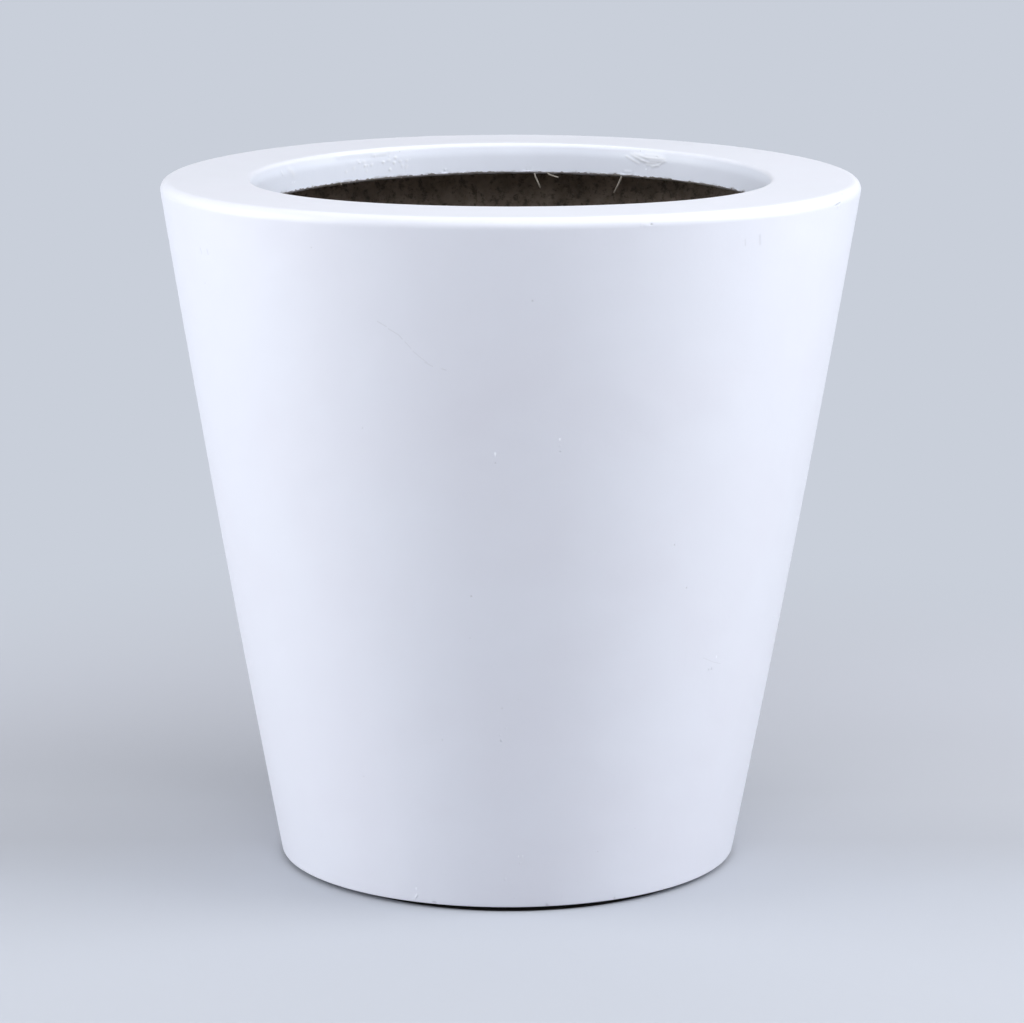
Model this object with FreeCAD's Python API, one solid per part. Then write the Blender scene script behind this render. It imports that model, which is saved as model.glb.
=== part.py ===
import FreeCAD, Part
import math
import os
from FreeCAD import Vector

# A round, tapered fibreglass planter, laid up by hand and sprayed white.
# Its pieces: a conical wall with a turned-in heel, a cap-shaped rim ring with a turned-down lip,
# a bottom disc with a drain hole, glass tape bedded over both inside joints, the finish coat,
# four stick-on rubber pads under the heel, and a rubber stopper in the drain.
# Millimetres, +Z up, origin on the floor under the middle of the planter.

# Outside form
overall_height = 610.0  # floor to the flat of the rim
rim_diameter = 613.0  # where the wall's slope meets the rim plane; its rounded edge is 610 across
base_diameter = 405.0  # where the wall's slope meets the plane of the heel
mouth_diameter = 452.0
lip_depth = 27.0  # rim plane to the lower edge of the turned-down lip
lip_draft = 1.5  # degrees that the lip leans towards the axis on its way down
rim_edge_radius = 8.0
mouth_edge_bevel = 3.0
heel_edge_bevel = 2.8
heel_width = 45.0  # turned-in foot of the wall, counted from the base diameter

# Layers
coat_thickness = 1.0
coat_underlap = 12.0  # how far the finish wraps under the heel, counted from the base diameter
laminate_thickness = 4.0
rim_joint_depth = 16.0  # rim plane to the butt joint between the rim ring and the wall
tape_thickness = 2.0
cove_width = 10.0  # how far the paste under a tape reaches along each side of its corner
rim_tape_drop = 64.0  # underside of the rim to the lower edge of its tape
rim_tape_reach = 42.0  # tape's width on the underside of the rim
base_tape_rise = 50.0
base_tape_reach = 48.0

# Bottom
base_thickness = 5.0
drain_diameter = 28.0

# Drain stopper
stopper_clearance = 0.3  # all round, between its stem and the drain
stopper_stem_length = 12.0
stopper_head_diameter = 46.0
stopper_head_thickness = 3.5
stopper_edge_bevel = 1.2
tab_width = 18.0
tab_height = 16.0
tab_thickness = 5.0
tab_hole_diameter = 7.0

# Rubber pads, cut square from sheet
pad_side = 28.0
pad_thickness = 5.0
pad_names = ["foot_pad_front_right", "foot_pad_back_right", "foot_pad_back_left", "foot_pad_front_left"]
first_pad_angle = -45.0

# Worked out from the sizes above
rim_radius = rim_diameter / 2
base_radius = base_diameter / 2
mouth_radius = mouth_diameter / 2
heel_height = pad_thickness - coat_thickness
skin_depth = coat_thickness + laminate_thickness
wall_slope = math.atan2(rim_radius - base_radius, overall_height - heel_height)
lip_end_radius = mouth_radius - lip_depth * math.tan(math.radians(lip_draft))
base_underside = pad_thickness + laminate_thickness
base_top = base_underside + base_thickness
rim_underside = overall_height - skin_depth
rim_half_angle = (math.pi / 2 - wall_slope) / 2
rim_round_reach = rim_edge_radius / math.tan(rim_half_angle)
rim_round_offset = rim_edge_radius / math.sin(rim_half_angle) - rim_edge_radius
rim_flat_offset = rim_round_offset * (rim_edge_radius - coat_thickness) / rim_edge_radius
rim_flat_reach = rim_flat_offset / math.cos(rim_half_angle)


def at(radius, height):
    return Vector(radius, 0, height)


def wall_inside(height):
    """Radius of the laminate's inner face at a height."""
    outside_radius = base_radius + (height - heel_height) * math.tan(wall_slope)
    return outside_radius - skin_depth / math.cos(wall_slope)


def cut_corner(before, corner, after, reach):
    """The ends of the flat that cuts a corner off, each of them the reach away from it."""
    return [
        corner + (before - corner).normalize() * reach,
        corner + (after - corner).normalize() * reach,
    ]


def moved_in(points, depth):
    """The same line of points with each of its runs moved by the depth to the left, into the material."""
    steps = []
    for start, end in zip(points, points[1:]):
        run = (end - start).normalize()
        steps.append(Vector(-run.z, 0, run.x))
    moved = []
    for point, before, after in zip(points, steps[:1] + steps, steps + steps[-1:]):
        both = before + after
        moved.append(point + both * (2 * depth / both.dot(both)))
    return moved


def runs(points):
    return [Part.makeLine(start, end) for start, end in zip(points, points[1:])]


def full_turn(edges):
    return Part.Face(Part.Wire(edges)).revolve(at(0, 0), at(0, 1), 360)


def layer(outer, inner):
    """A full turn of the strip between two lines of points that run the same way."""
    return full_turn(runs(outer + inner[::-1] + outer[:1]))


def square_outside(heel_start):
    """Corners of the finished outside: under the heel, up the wall, over the rim, down the lip."""
    return [
        at(heel_start, heel_height),
        at(base_radius, heel_height),
        at(rim_radius, overall_height),
        at(mouth_radius, overall_height),
        at(lip_end_radius, overall_height - lip_depth),
    ]


def edges_cut(corners, rim_reach):
    """Points along the corners up to the rim's edge and on from it, with the three edges cut back."""
    start, heel, rim, mouth, lip_end = corners
    rim_start, rim_end = cut_corner(heel, rim, mouth, rim_reach)
    up = [start] + cut_corner(start, heel, rim, heel_edge_bevel) + [rim_start]
    over = [rim_end] + cut_corner(rim, mouth, lip_end, mouth_edge_bevel) + [lip_end]
    return up, over


def under_coat(heel_start):
    """The laminate's outside, one coat in; a flat at the rim lies just under the coat's round."""
    up, over = edges_cut(moved_in(square_outside(heel_start), coat_thickness), rim_flat_reach)
    return up + over


def finish_coat():
    heel_start = base_radius - coat_underlap
    up, over = edges_cut(square_outside(heel_start), rim_round_reach)
    round_middle = at(
        rim_radius - rim_round_offset * math.cos(rim_half_angle),
        overall_height - rim_round_offset * math.sin(rim_half_angle),
    )
    rim_round = Part.Arc(up[-1], round_middle, over[0]).toShape()
    back = under_coat(heel_start)[::-1]
    return full_turn(runs(up) + [rim_round] + runs(over + back + up[:1]))


def laminate():
    """Wall and rim as one skin, its inside left with square corners."""
    heel_start = base_radius - heel_width
    return layer(under_coat(heel_start), moved_in(square_outside(heel_start), skin_depth))


def rim_zone():
    """Everything above the rim joint, and the lip that hangs below it in the mouth."""
    above_joint = Part.makeCylinder(rim_radius, rim_joint_depth, at(0, overall_height - rim_joint_depth))
    lip_reach = lip_depth + laminate_thickness
    flange_middle = (mouth_radius + rim_radius) / 2
    around_lip = Part.makeCylinder(flange_middle, lip_reach, at(0, overall_height - lip_reach))
    return above_joint.fuse(around_lip)


def wall():
    return laminate().cut(rim_zone()).Solids[0]


def rim_ring():
    return laminate().common(rim_zone()).Solids[0]


def taped_corner(before, corner, after):
    """Glass tape laid into an inside corner, over a cove of resin paste."""
    face = [before] + cut_corner(before, corner, after, cove_width) + [after]
    return layer([before, corner, after], moved_in(face, tape_thickness))


def rim_tape():
    lower_edge = rim_underside - rim_tape_drop
    corner_radius = wall_inside(rim_underside)
    return taped_corner(
        at(wall_inside(lower_edge), lower_edge),
        at(corner_radius, rim_underside),
        at(corner_radius - rim_tape_reach, rim_underside),
    )


def base_disc():
    """A disc cut to the slope of the wall, bedded on the heel."""
    bed = at(0, base_underside)
    disc = Part.makeCone(wall_inside(base_underside), wall_inside(base_top), base_thickness, bed)
    return disc.cut(Part.makeCylinder(drain_diameter / 2, base_thickness, bed)).Solids[0]


def base_tape():
    upper_edge = base_top + base_tape_rise
    corner_radius = wall_inside(base_top)
    return taped_corner(
        at(corner_radius - base_tape_reach, base_top),
        at(corner_radius, base_top),
        at(wall_inside(upper_edge), upper_edge),
    )


def drain_stopper():
    """A plug under a flat round head, with a holed tab to pull it out by."""
    stem_radius = drain_diameter / 2 - stopper_clearance
    head_radius = stopper_head_diameter / 2
    head_top = base_top + stopper_head_thickness
    stem_tip = base_top - stopper_stem_length
    tip_middle = at(0, stem_tip)
    stem_root = at(stem_radius, base_top)
    head_edge = at(head_radius, base_top)
    head_middle = at(0, head_top)
    section = [tip_middle]
    section += cut_corner(tip_middle, at(stem_radius, stem_tip), stem_root, stopper_edge_bevel)
    section += [stem_root, head_edge]
    section += cut_corner(head_edge, at(head_radius, head_top), head_middle, stopper_edge_bevel)
    section += [head_middle, tip_middle]
    plug = full_turn(runs(section))
    bow_height = head_top + tab_height - tab_width / 2
    front = -tab_thickness / 2
    root = Vector(-tab_width / 2, front, head_top)
    post = Part.makeBox(tab_width, tab_thickness, bow_height - head_top, root)
    across = Vector(0, 1, 0)
    bow = Part.makeCylinder(tab_width / 2, tab_thickness, Vector(0, front, bow_height), across)
    eye = Part.makeCylinder(tab_hole_diameter / 2, tab_thickness, Vector(0, front, bow_height), across)
    tab = post.fuse(bow).cut(eye)
    return plug.fuse(tab).removeSplitter().Solids[0]


def foot_pad(angle):
    """A square pad in the middle of the bare laminate under the heel."""
    bare_inside = base_radius - heel_width
    bare_outside = base_radius - coat_underlap
    centre_radius = (bare_inside + bare_outside) / 2
    corner = Vector(centre_radius - pad_side / 2, -pad_side / 2, 0)
    pad = Part.makeBox(pad_side, pad_side, pad_thickness, corner)
    pad.rotate(at(0, 0), at(0, 1), angle)
    return pad


def main():
    nodes = {
        "finish_coat": finish_coat(),
        "wall_shell": wall(),
        "rim_ring": rim_ring(),
        "rim_joint_tape": rim_tape(),
        "base_disc": base_disc(),
        "base_joint_tape": base_tape(),
        "drain_stopper": drain_stopper(),
    }
    for turn, name in enumerate(pad_names):
        nodes[name] = foot_pad(first_pad_angle + turn * 360 / len(pad_names))
    os.makedirs("parts", exist_ok=True)
    for name, shape in nodes.items():
        shape.exportStep("parts/" + name + ".step")
        print(name, shape.ShapeType, shape.isValid(), round(shape.Volume / 1000, 1), "cm3")


main()
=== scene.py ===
import math
import random

import bmesh
import bpy
from bpy.props import FloatProperty, FloatVectorProperty, IntProperty, PointerProperty
from mathutils import Matrix, Vector


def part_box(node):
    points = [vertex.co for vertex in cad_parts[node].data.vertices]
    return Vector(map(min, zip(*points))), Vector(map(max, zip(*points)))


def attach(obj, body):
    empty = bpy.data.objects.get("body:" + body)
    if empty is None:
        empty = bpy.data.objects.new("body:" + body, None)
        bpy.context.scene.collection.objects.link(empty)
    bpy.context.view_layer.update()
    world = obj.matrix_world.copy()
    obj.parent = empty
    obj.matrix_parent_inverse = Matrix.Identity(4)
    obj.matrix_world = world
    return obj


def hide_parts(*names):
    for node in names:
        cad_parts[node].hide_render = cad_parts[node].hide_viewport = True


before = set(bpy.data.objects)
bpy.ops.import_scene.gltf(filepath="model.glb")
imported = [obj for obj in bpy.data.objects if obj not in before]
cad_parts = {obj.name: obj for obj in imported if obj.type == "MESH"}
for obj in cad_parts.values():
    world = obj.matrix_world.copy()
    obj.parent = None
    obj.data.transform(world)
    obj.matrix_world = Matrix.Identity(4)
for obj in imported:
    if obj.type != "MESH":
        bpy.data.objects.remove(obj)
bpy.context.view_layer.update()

bl_info = {
    "name": "Laid-up planter",
    "version": (1, 0, 0),
    "blender": (4, 5, 0),
    "location": "3D View > Sidebar > Planter",
    "description": "Dresses the packed frame of a round, tapered fibreglass planter",
    "category": "Object",
}

coat_low, coat_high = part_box("finish_coat")
wall_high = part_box("wall_shell")[1]
disc_low, disc_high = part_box("base_disc")
stopper_low, stopper_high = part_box("drain_stopper")
pad_nodes = ["foot_pad_front_right", "foot_pad_back_right", "foot_pad_back_left", "foot_pad_front_left"]

MM = 0.001
SHARP = math.radians(50)  # edges that bend more than this stay crisp
DRAIN_RADIUS = 14 * MM
STEM_RADIUS = 13.7 * MM  # of the stopper, which leaves 0.3 mm to the drain
HEAD_HEIGHT = 3.5 * MM
PAD_SIDE = 28 * MM
RIM_TAPE_REACH = 42 * MM  # inwards from the wall
BASE_TAPE_REACH = 48 * MM


def linear(hex_colour):
    """The linear colour, with an alpha of 1, of an sRGB hex value."""
    channels = [int(hex_colour[start:start + 2], 16) / 255 for start in (1, 3, 5)]
    curve = [c / 12.92 if c <= 0.04045 else ((c + 0.055) / 1.055) ** 2.4 for c in channels]
    return (*curve, 1.0)


# Sizes and colours that a user would change


def length_property(name, description, default, precision=4):
    return FloatProperty(
        name=name, description=description, default=default, unit="LENGTH", precision=precision)


def power_property(name, description, default):
    return FloatProperty(name=name, description=description, default=default, unit="POWER")


def colour_property(name, description, hex_colour):
    return FloatVectorProperty(
        name=name, description=description, default=linear(hex_colour),
        subtype="COLOR", size=4, min=0, max=1)


class PlanterForm(bpy.types.PropertyGroup):
    """The outside form, and what laying it up by hand did to it."""

    rim_height: length_property("Rim height", "Floor to the flat of the rim", coat_high.z)
    foot_height: length_property("Foot height", "Floor to the underside of the heel", coat_low.z)
    joint_height: length_property(
        "Joint height", "Floor to the joint between the wall and the rim ring", wall_high.z)
    rim_radius: length_property(
        "Rim radius", "Where the wall's slope meets the plane of the rim", 306.5 * MM)
    foot_radius: length_property(
        "Foot radius", "Where the wall's slope meets the plane of the heel", 202.5 * MM)
    mouth_radius: length_property("Mouth radius", "Where the lip meets the plane of the rim", 226 * MM)
    lip_depth: length_property("Lip depth", "Rim plane to the lower edge of the turned-down lip", 27 * MM)
    lip_draft: FloatProperty(
        name="Lip draft", description="How far the lip leans towards the axis on its way down",
        default=math.radians(1.5), unit="ROTATION")
    heel_width: length_property("Heel width", "Width of the turned-in foot of the wall", 45 * MM)
    coat_underlap: length_property("Coat underlap", "How far the coat wraps under the heel", 12 * MM)
    rim_round: length_property("Rim round", "Radius of the rim's outer edge", 8 * MM)
    mouth_round: length_property("Mouth round", "Radius of the edge between the rim and the lip", 4.5 * MM)
    lip_lead: length_property(
        "Lip lead", "How far the mouth's edge runs into the lip before the lip stands upright", 10 * MM)
    heel_round: length_property("Heel round", "Radius of the edge under the wall", 1.5 * MM)
    coat_thickness: length_property("Coat thickness", "Thickness of the sprayed coat", 1 * MM)
    laminate_thickness: length_property(
        "Laminate thickness", "Thickness of the glass and resin under the coat", 4 * MM)
    crown: length_property("Crown", "How far the wall swells half way up", 2.5 * MM)
    lean: length_property("Lean", "How far the foot stands off to the left of the rim's axis", 3 * MM)
    saddle: length_property(
        "Saddle", "How far the rim hangs lower at the left and right than at front and back", 3.3 * MM)
    lip_slant: length_property(
        "Lip slant", "How much higher than level the lip is trimmed at the right", 1.5 * MM)
    ripple: length_property("Ripple", "Depth of the slow waves that the mould left", 0.5 * MM, precision=5)
    ripple_length: length_property("Ripple length", "Distance from one slow wave to the next", 150 * MM)
    columns: IntProperty(
        name="Columns", description="Faces round the planter", default=360, min=24)


class PlanterLaminate(bpy.types.PropertyGroup):
    """The raw glass and resin that shows inside."""

    lump_height: length_property(
        "Lump height", "How far the raw inside rises and falls", 0.55 * MM, precision=5)
    lump_size: length_property("Lump size", "Distance from one lump to the next", 18 * MM)
    rag_height: length_property("Rag height", "How unevenly the lip is trimmed", 0.8 * MM, precision=5)
    strand_density: FloatProperty(
        name="Strands", description="Strands on each square metre of the inside", default=420.0)
    strand_length: length_property("Strand length", "Length that the roving was chopped to", 35 * MM)
    strand_radius: length_property(
        "Strand radius", "Half the thickness of a strand", 0.4 * MM, precision=5)
    tape_thickness: length_property(
        "Tape thickness", "Thickness of the glass tape over the inside joints", 2 * MM)
    cove_radius: length_property(
        "Cove radius", "Radius of the resin paste in the corner under a tape", 16 * MM)
    seed: IntProperty(name="Seed", description="Seed of everything uneven", default=7)


class PlanterFinish(bpy.types.PropertyGroup):
    """Colours of the finishes."""

    gelcoat: colour_property("Gelcoat", "White of the sprayed coat", "#E5E9F5")
    gelcoat_shade: colour_property("Gelcoat, thinner", "The coat where it lies thinner", "#E3E6F2")
    # Painted light: this whiter, bluer white is drawn on the lip, whose coat is the same as the wall's
    gelcoat_lip_painted_light: colour_property(
        "Gelcoat, thicker", "The coat in the mouth, where the passes of the spray overlap", "#E9F0FF")
    # Partly painted highlight: the lip's touch-up, gathered coat and nibs are drawn in this whiter colour
    touch_up_and_highlight: colour_property("Touch-up", "Fresh coat brushed on by hand", "#F0F5FF")
    grime: colour_property("Grime", "Dust held by scratches and pits", "#8F9097")
    laminate: colour_property("Laminate", "Brown resin over the glass", "#A09387")
    laminate_dark: colour_property("Laminate, resin-rich", "Where the resin pooled", "#776B5F")
    fringe: colour_property("Lip's trimmed edge", "Resin that the spray just reached", "#77757A")
    fringe_dark: colour_property("Lip's trimmed edge, bare", "Resin that it missed", "#58544F")
    starved: colour_property("Tape, starved", "Where the tape's weave took up too little resin", "#3D362F")
    glass: colour_property("Glass", "Dry glass strands", "#98958F")
    rubber: colour_property("Rubber", "Black rubber of the stopper and the pads", "#26262A")


class PlanterStudio(bpy.types.PropertyGroup):
    """Camera, floor and lights."""

    camera_height: length_property("Camera height", "Camera above the floor", 1.0456)
    camera_distance: length_property("Camera distance", "Camera to the planter's axis", 3.6048)
    camera_aside: length_property("Camera aside", "Camera to the left of the axis", 0.003)
    camera_tilt: FloatProperty(
        name="Camera tilt", description="How far the camera looks down", default=0.20186, unit="ROTATION")
    camera_pan: FloatProperty(
        name="Camera pan", description="How far it looks to the right", default=0.00115, unit="ROTATION")
    camera_roll: FloatProperty(
        name="Camera roll", description="Turn about its line of sight", default=-0.00007, unit="ROTATION")
    lens: FloatProperty(
        name="Lens", description="Focal length on a 36 mm sensor", default=145.83)
    ambient: FloatProperty(
        name="Ambient", description="Strength of the even light from all round", default=0.35)
    left_power: power_property("Left light", "Power of the large light at the left", 47)
    right_power: power_property("Right light", "Power of the high light at the right", 33)
    low_power: power_property("Low light", "Power of the low light at the right", 17)
    top_power: power_property("Top light", "Power of the large light overhead", 31)
    back_power: power_property("Back light", "Power of the light above and behind", 8)
    front_power: power_property("Front light", "Power of the large light above the camera", 35)


# Small tools for node trees


def add_node(tree, kind, wires=None, **settings):
    """Adds a node with its settings; each wire gives an input a plain value or another node's output."""
    node = tree.nodes.new(kind)
    node.location = (len(tree.nodes) * 190, 0)
    for name, value in settings.items():
        setattr(node, name, value)
    for socket, source in (wires or {}).items():
        if isinstance(source, bpy.types.NodeSocket):
            tree.links.new(source, node.inputs[socket])
        else:
            node.inputs[socket].default_value = source
    return node


def new_geometry_tree(name, inputs):
    """An empty Geometry Nodes tree with a geometry in and out, and named inputs for its sizes."""
    tree = bpy.data.node_groups.new(name, "GeometryNodeTree")
    tree.is_modifier = True
    tree.interface.new_socket("Geometry", in_out="INPUT", socket_type="NodeSocketGeometry")
    for label, kind in inputs.items():
        tree.interface.new_socket(label, in_out="INPUT", socket_type="NodeSocket" + kind)
    tree.interface.new_socket("Geometry", in_out="OUTPUT", socket_type="NodeSocketGeometry")
    entry = add_node(tree, "NodeGroupInput")
    return tree, entry.outputs


SLANT_WIDTH = 14 * MM  # how far behind the lip's face its slanted trim still reaches
SLANT_DEPTHS = 2.0  # and how far down, counted in lip depths
WRAP_RADIUS = 0.26  # mean radius of the planter, which turns an angle into metres for the wrap
WELD = 0.01 * MM  # points nearer to each other than this are one
LUMP_GAIN = 3.0  # brings the noise's narrow swing up to the lumps' height
CHIPS_PER_METRE = 55.0
STRAND_BOW, STRAND_LIFT = 0.4, 0.06  # sideways and off the face, as shares of half a strand
STRAND_SIZES = (0.5, 1.3)  # shortest and longest, as shares of the length that was asked for
STRAND_TURN_SEED = 3
FORM_INPUTS = {
    "Foot Height": "Float", "Rim Height": "Float", "Crown": "Float", "Lean": "Float", "Saddle": "Float",
    "Mouth Radius": "Float", "Lip Depth": "Float", "Lip Slant": "Float",
    "Ripple": "Float", "Ripple Length": "Float", "Seed": "Float",
}


def hand_laid_form():
    """Shared by every layer: a crowned wall, a foot that stands aside, a rim that hangs, slow waves inwards."""
    tree, given = new_geometry_tree("Hand-laid form", FORM_INPUTS)
    place = add_node(tree, "GeometryNodeInputPosition").outputs[0]
    parts = add_node(tree, "ShaderNodeSeparateXYZ", {0: place}).outputs
    share = add_node(tree, "ShaderNodeMapRange", {
        "Value": parts["Z"], "From Min": given["Foot Height"], "From Max": given["Rim Height"]}).outputs[0]
    # Crowned by four times share by rest, which is 1 half way up and 0 at both ends
    rest = add_node(tree, "ShaderNodeMath", {0: 1.0, 1: share}, operation="SUBTRACT").outputs[0]
    both = add_node(tree, "ShaderNodeMath", {0: share, 1: rest}, operation="MULTIPLY").outputs[0]
    four = add_node(tree, "ShaderNodeMath", {0: both, 1: 4.0}, operation="MULTIPLY").outputs[0]
    crowned = add_node(tree, "ShaderNodeMath", {
        0: four, 1: given["Crown"]}, operation="MULTIPLY").outputs[0]
    pace = add_node(tree, "ShaderNodeMath", {
        0: 1.0, 1: given["Ripple Length"]}, operation="DIVIDE").outputs[0]
    waves = add_node(tree, "ShaderNodeTexNoise", {
        "Vector": place, "Scale": pace, "W": given["Seed"], "Detail": 1.5, "Roughness": 0.4},
        noise_dimensions="4D").outputs
    dents = add_node(tree, "ShaderNodeMath", {
        0: waves[0], 1: given["Ripple"]}, operation="MULTIPLY").outputs[0]
    reach = add_node(tree, "ShaderNodeMath", {0: crowned, 1: dents}, operation="SUBTRACT").outputs[0]
    level = add_node(tree, "ShaderNodeCombineXYZ", {"X": parts["X"], "Y": parts["Y"]}).outputs[0]
    outwards = add_node(tree, "ShaderNodeVectorMath", {0: level}, operation="NORMALIZE").outputs[0]
    swell = add_node(tree, "ShaderNodeVectorMath", {
        0: outwards, "Scale": reach}, operation="SCALE").outputs[0]
    aside = add_node(tree, "ShaderNodeMath", {0: given["Lean"], 1: rest}, operation="MULTIPLY").outputs[0]
    left = add_node(tree, "ShaderNodeMath", {0: aside, 1: -1.0}, operation="MULTIPLY").outputs[0]
    sink = add_node(tree, "ShaderNodeSeparateXYZ", {0: waves[1]}).outputs[2]
    sunk = add_node(tree, "ShaderNodeMath", {0: sink, 1: given["Ripple"]}, operation="MULTIPLY").outputs[0]
    high = add_node(tree, "ShaderNodeMath", {0: sunk, 1: share}, operation="MULTIPLY").outputs[0]
    # The rim hangs lower at its left and right
    across = add_node(tree, "ShaderNodeSeparateXYZ", {0: outwards}).outputs["X"]
    aside_squared = add_node(tree, "ShaderNodeMath", {0: across, 1: 2.0}, operation="POWER").outputs[0]
    share_squared = add_node(tree, "ShaderNodeMath", {0: share, 1: 2.0}, operation="POWER").outputs[0]
    bend = add_node(tree, "ShaderNodeMath", {
        0: aside_squared, 1: share_squared}, operation="MULTIPLY").outputs[0]
    hang = add_node(tree, "ShaderNodeMath", {0: bend, 1: given["Saddle"]}, operation="MULTIPLY").outputs[0]
    # The lip is trimmed on a slant, which grows down the lip and spares the rest
    out = add_node(tree, "ShaderNodeVectorMath", {0: level}, operation="LENGTH").outputs["Value"]
    beyond = add_node(tree, "ShaderNodeMath", {
        0: given["Mouth Radius"], 1: SLANT_WIDTH}, operation="ADD").outputs[0]
    inside = add_node(tree, "ShaderNodeMath", {0: out, 1: beyond}, operation="LESS_THAN").outputs[0]
    below = add_node(tree, "ShaderNodeMath", {
        0: given["Rim Height"], 1: parts["Z"]}, operation="SUBTRACT").outputs[0]
    reached = add_node(tree, "ShaderNodeMath", {
        0: below, 1: given["Lip Depth"]}, operation="DIVIDE").outputs[0]
    near = add_node(tree, "ShaderNodeMath", {0: reached, 1: SLANT_DEPTHS}, operation="LESS_THAN").outputs[0]
    on_lip = add_node(tree, "ShaderNodeMath", {0: inside, 1: near}, operation="MULTIPLY").outputs[0]
    depth = add_node(tree, "ShaderNodeMath", {0: on_lip, 1: reached}, operation="MULTIPLY").outputs[0]
    slope = add_node(tree, "ShaderNodeMath", {0: depth, 1: across}, operation="MULTIPLY").outputs[0]
    trimmed = add_node(tree, "ShaderNodeMath", {
        0: slope, 1: given["Lip Slant"]}, operation="MULTIPLY").outputs[0]
    dip = add_node(tree, "ShaderNodeMath", {0: high, 1: hang}, operation="ADD").outputs[0]
    down = add_node(tree, "ShaderNodeMath", {0: trimmed, 1: dip}, operation="SUBTRACT").outputs[0]
    shift = add_node(tree, "ShaderNodeCombineXYZ", {"X": left, "Z": down}).outputs[0]
    offset = add_node(tree, "ShaderNodeVectorMath", {0: swell, 1: shift}, operation="ADD").outputs[0]
    moved = add_node(tree, "GeometryNodeSetPosition", {"Geometry": given["Geometry"], "Offset": offset})
    add_node(tree, "NodeGroupOutput", {"Geometry": moved.outputs[0]})
    return tree


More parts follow.
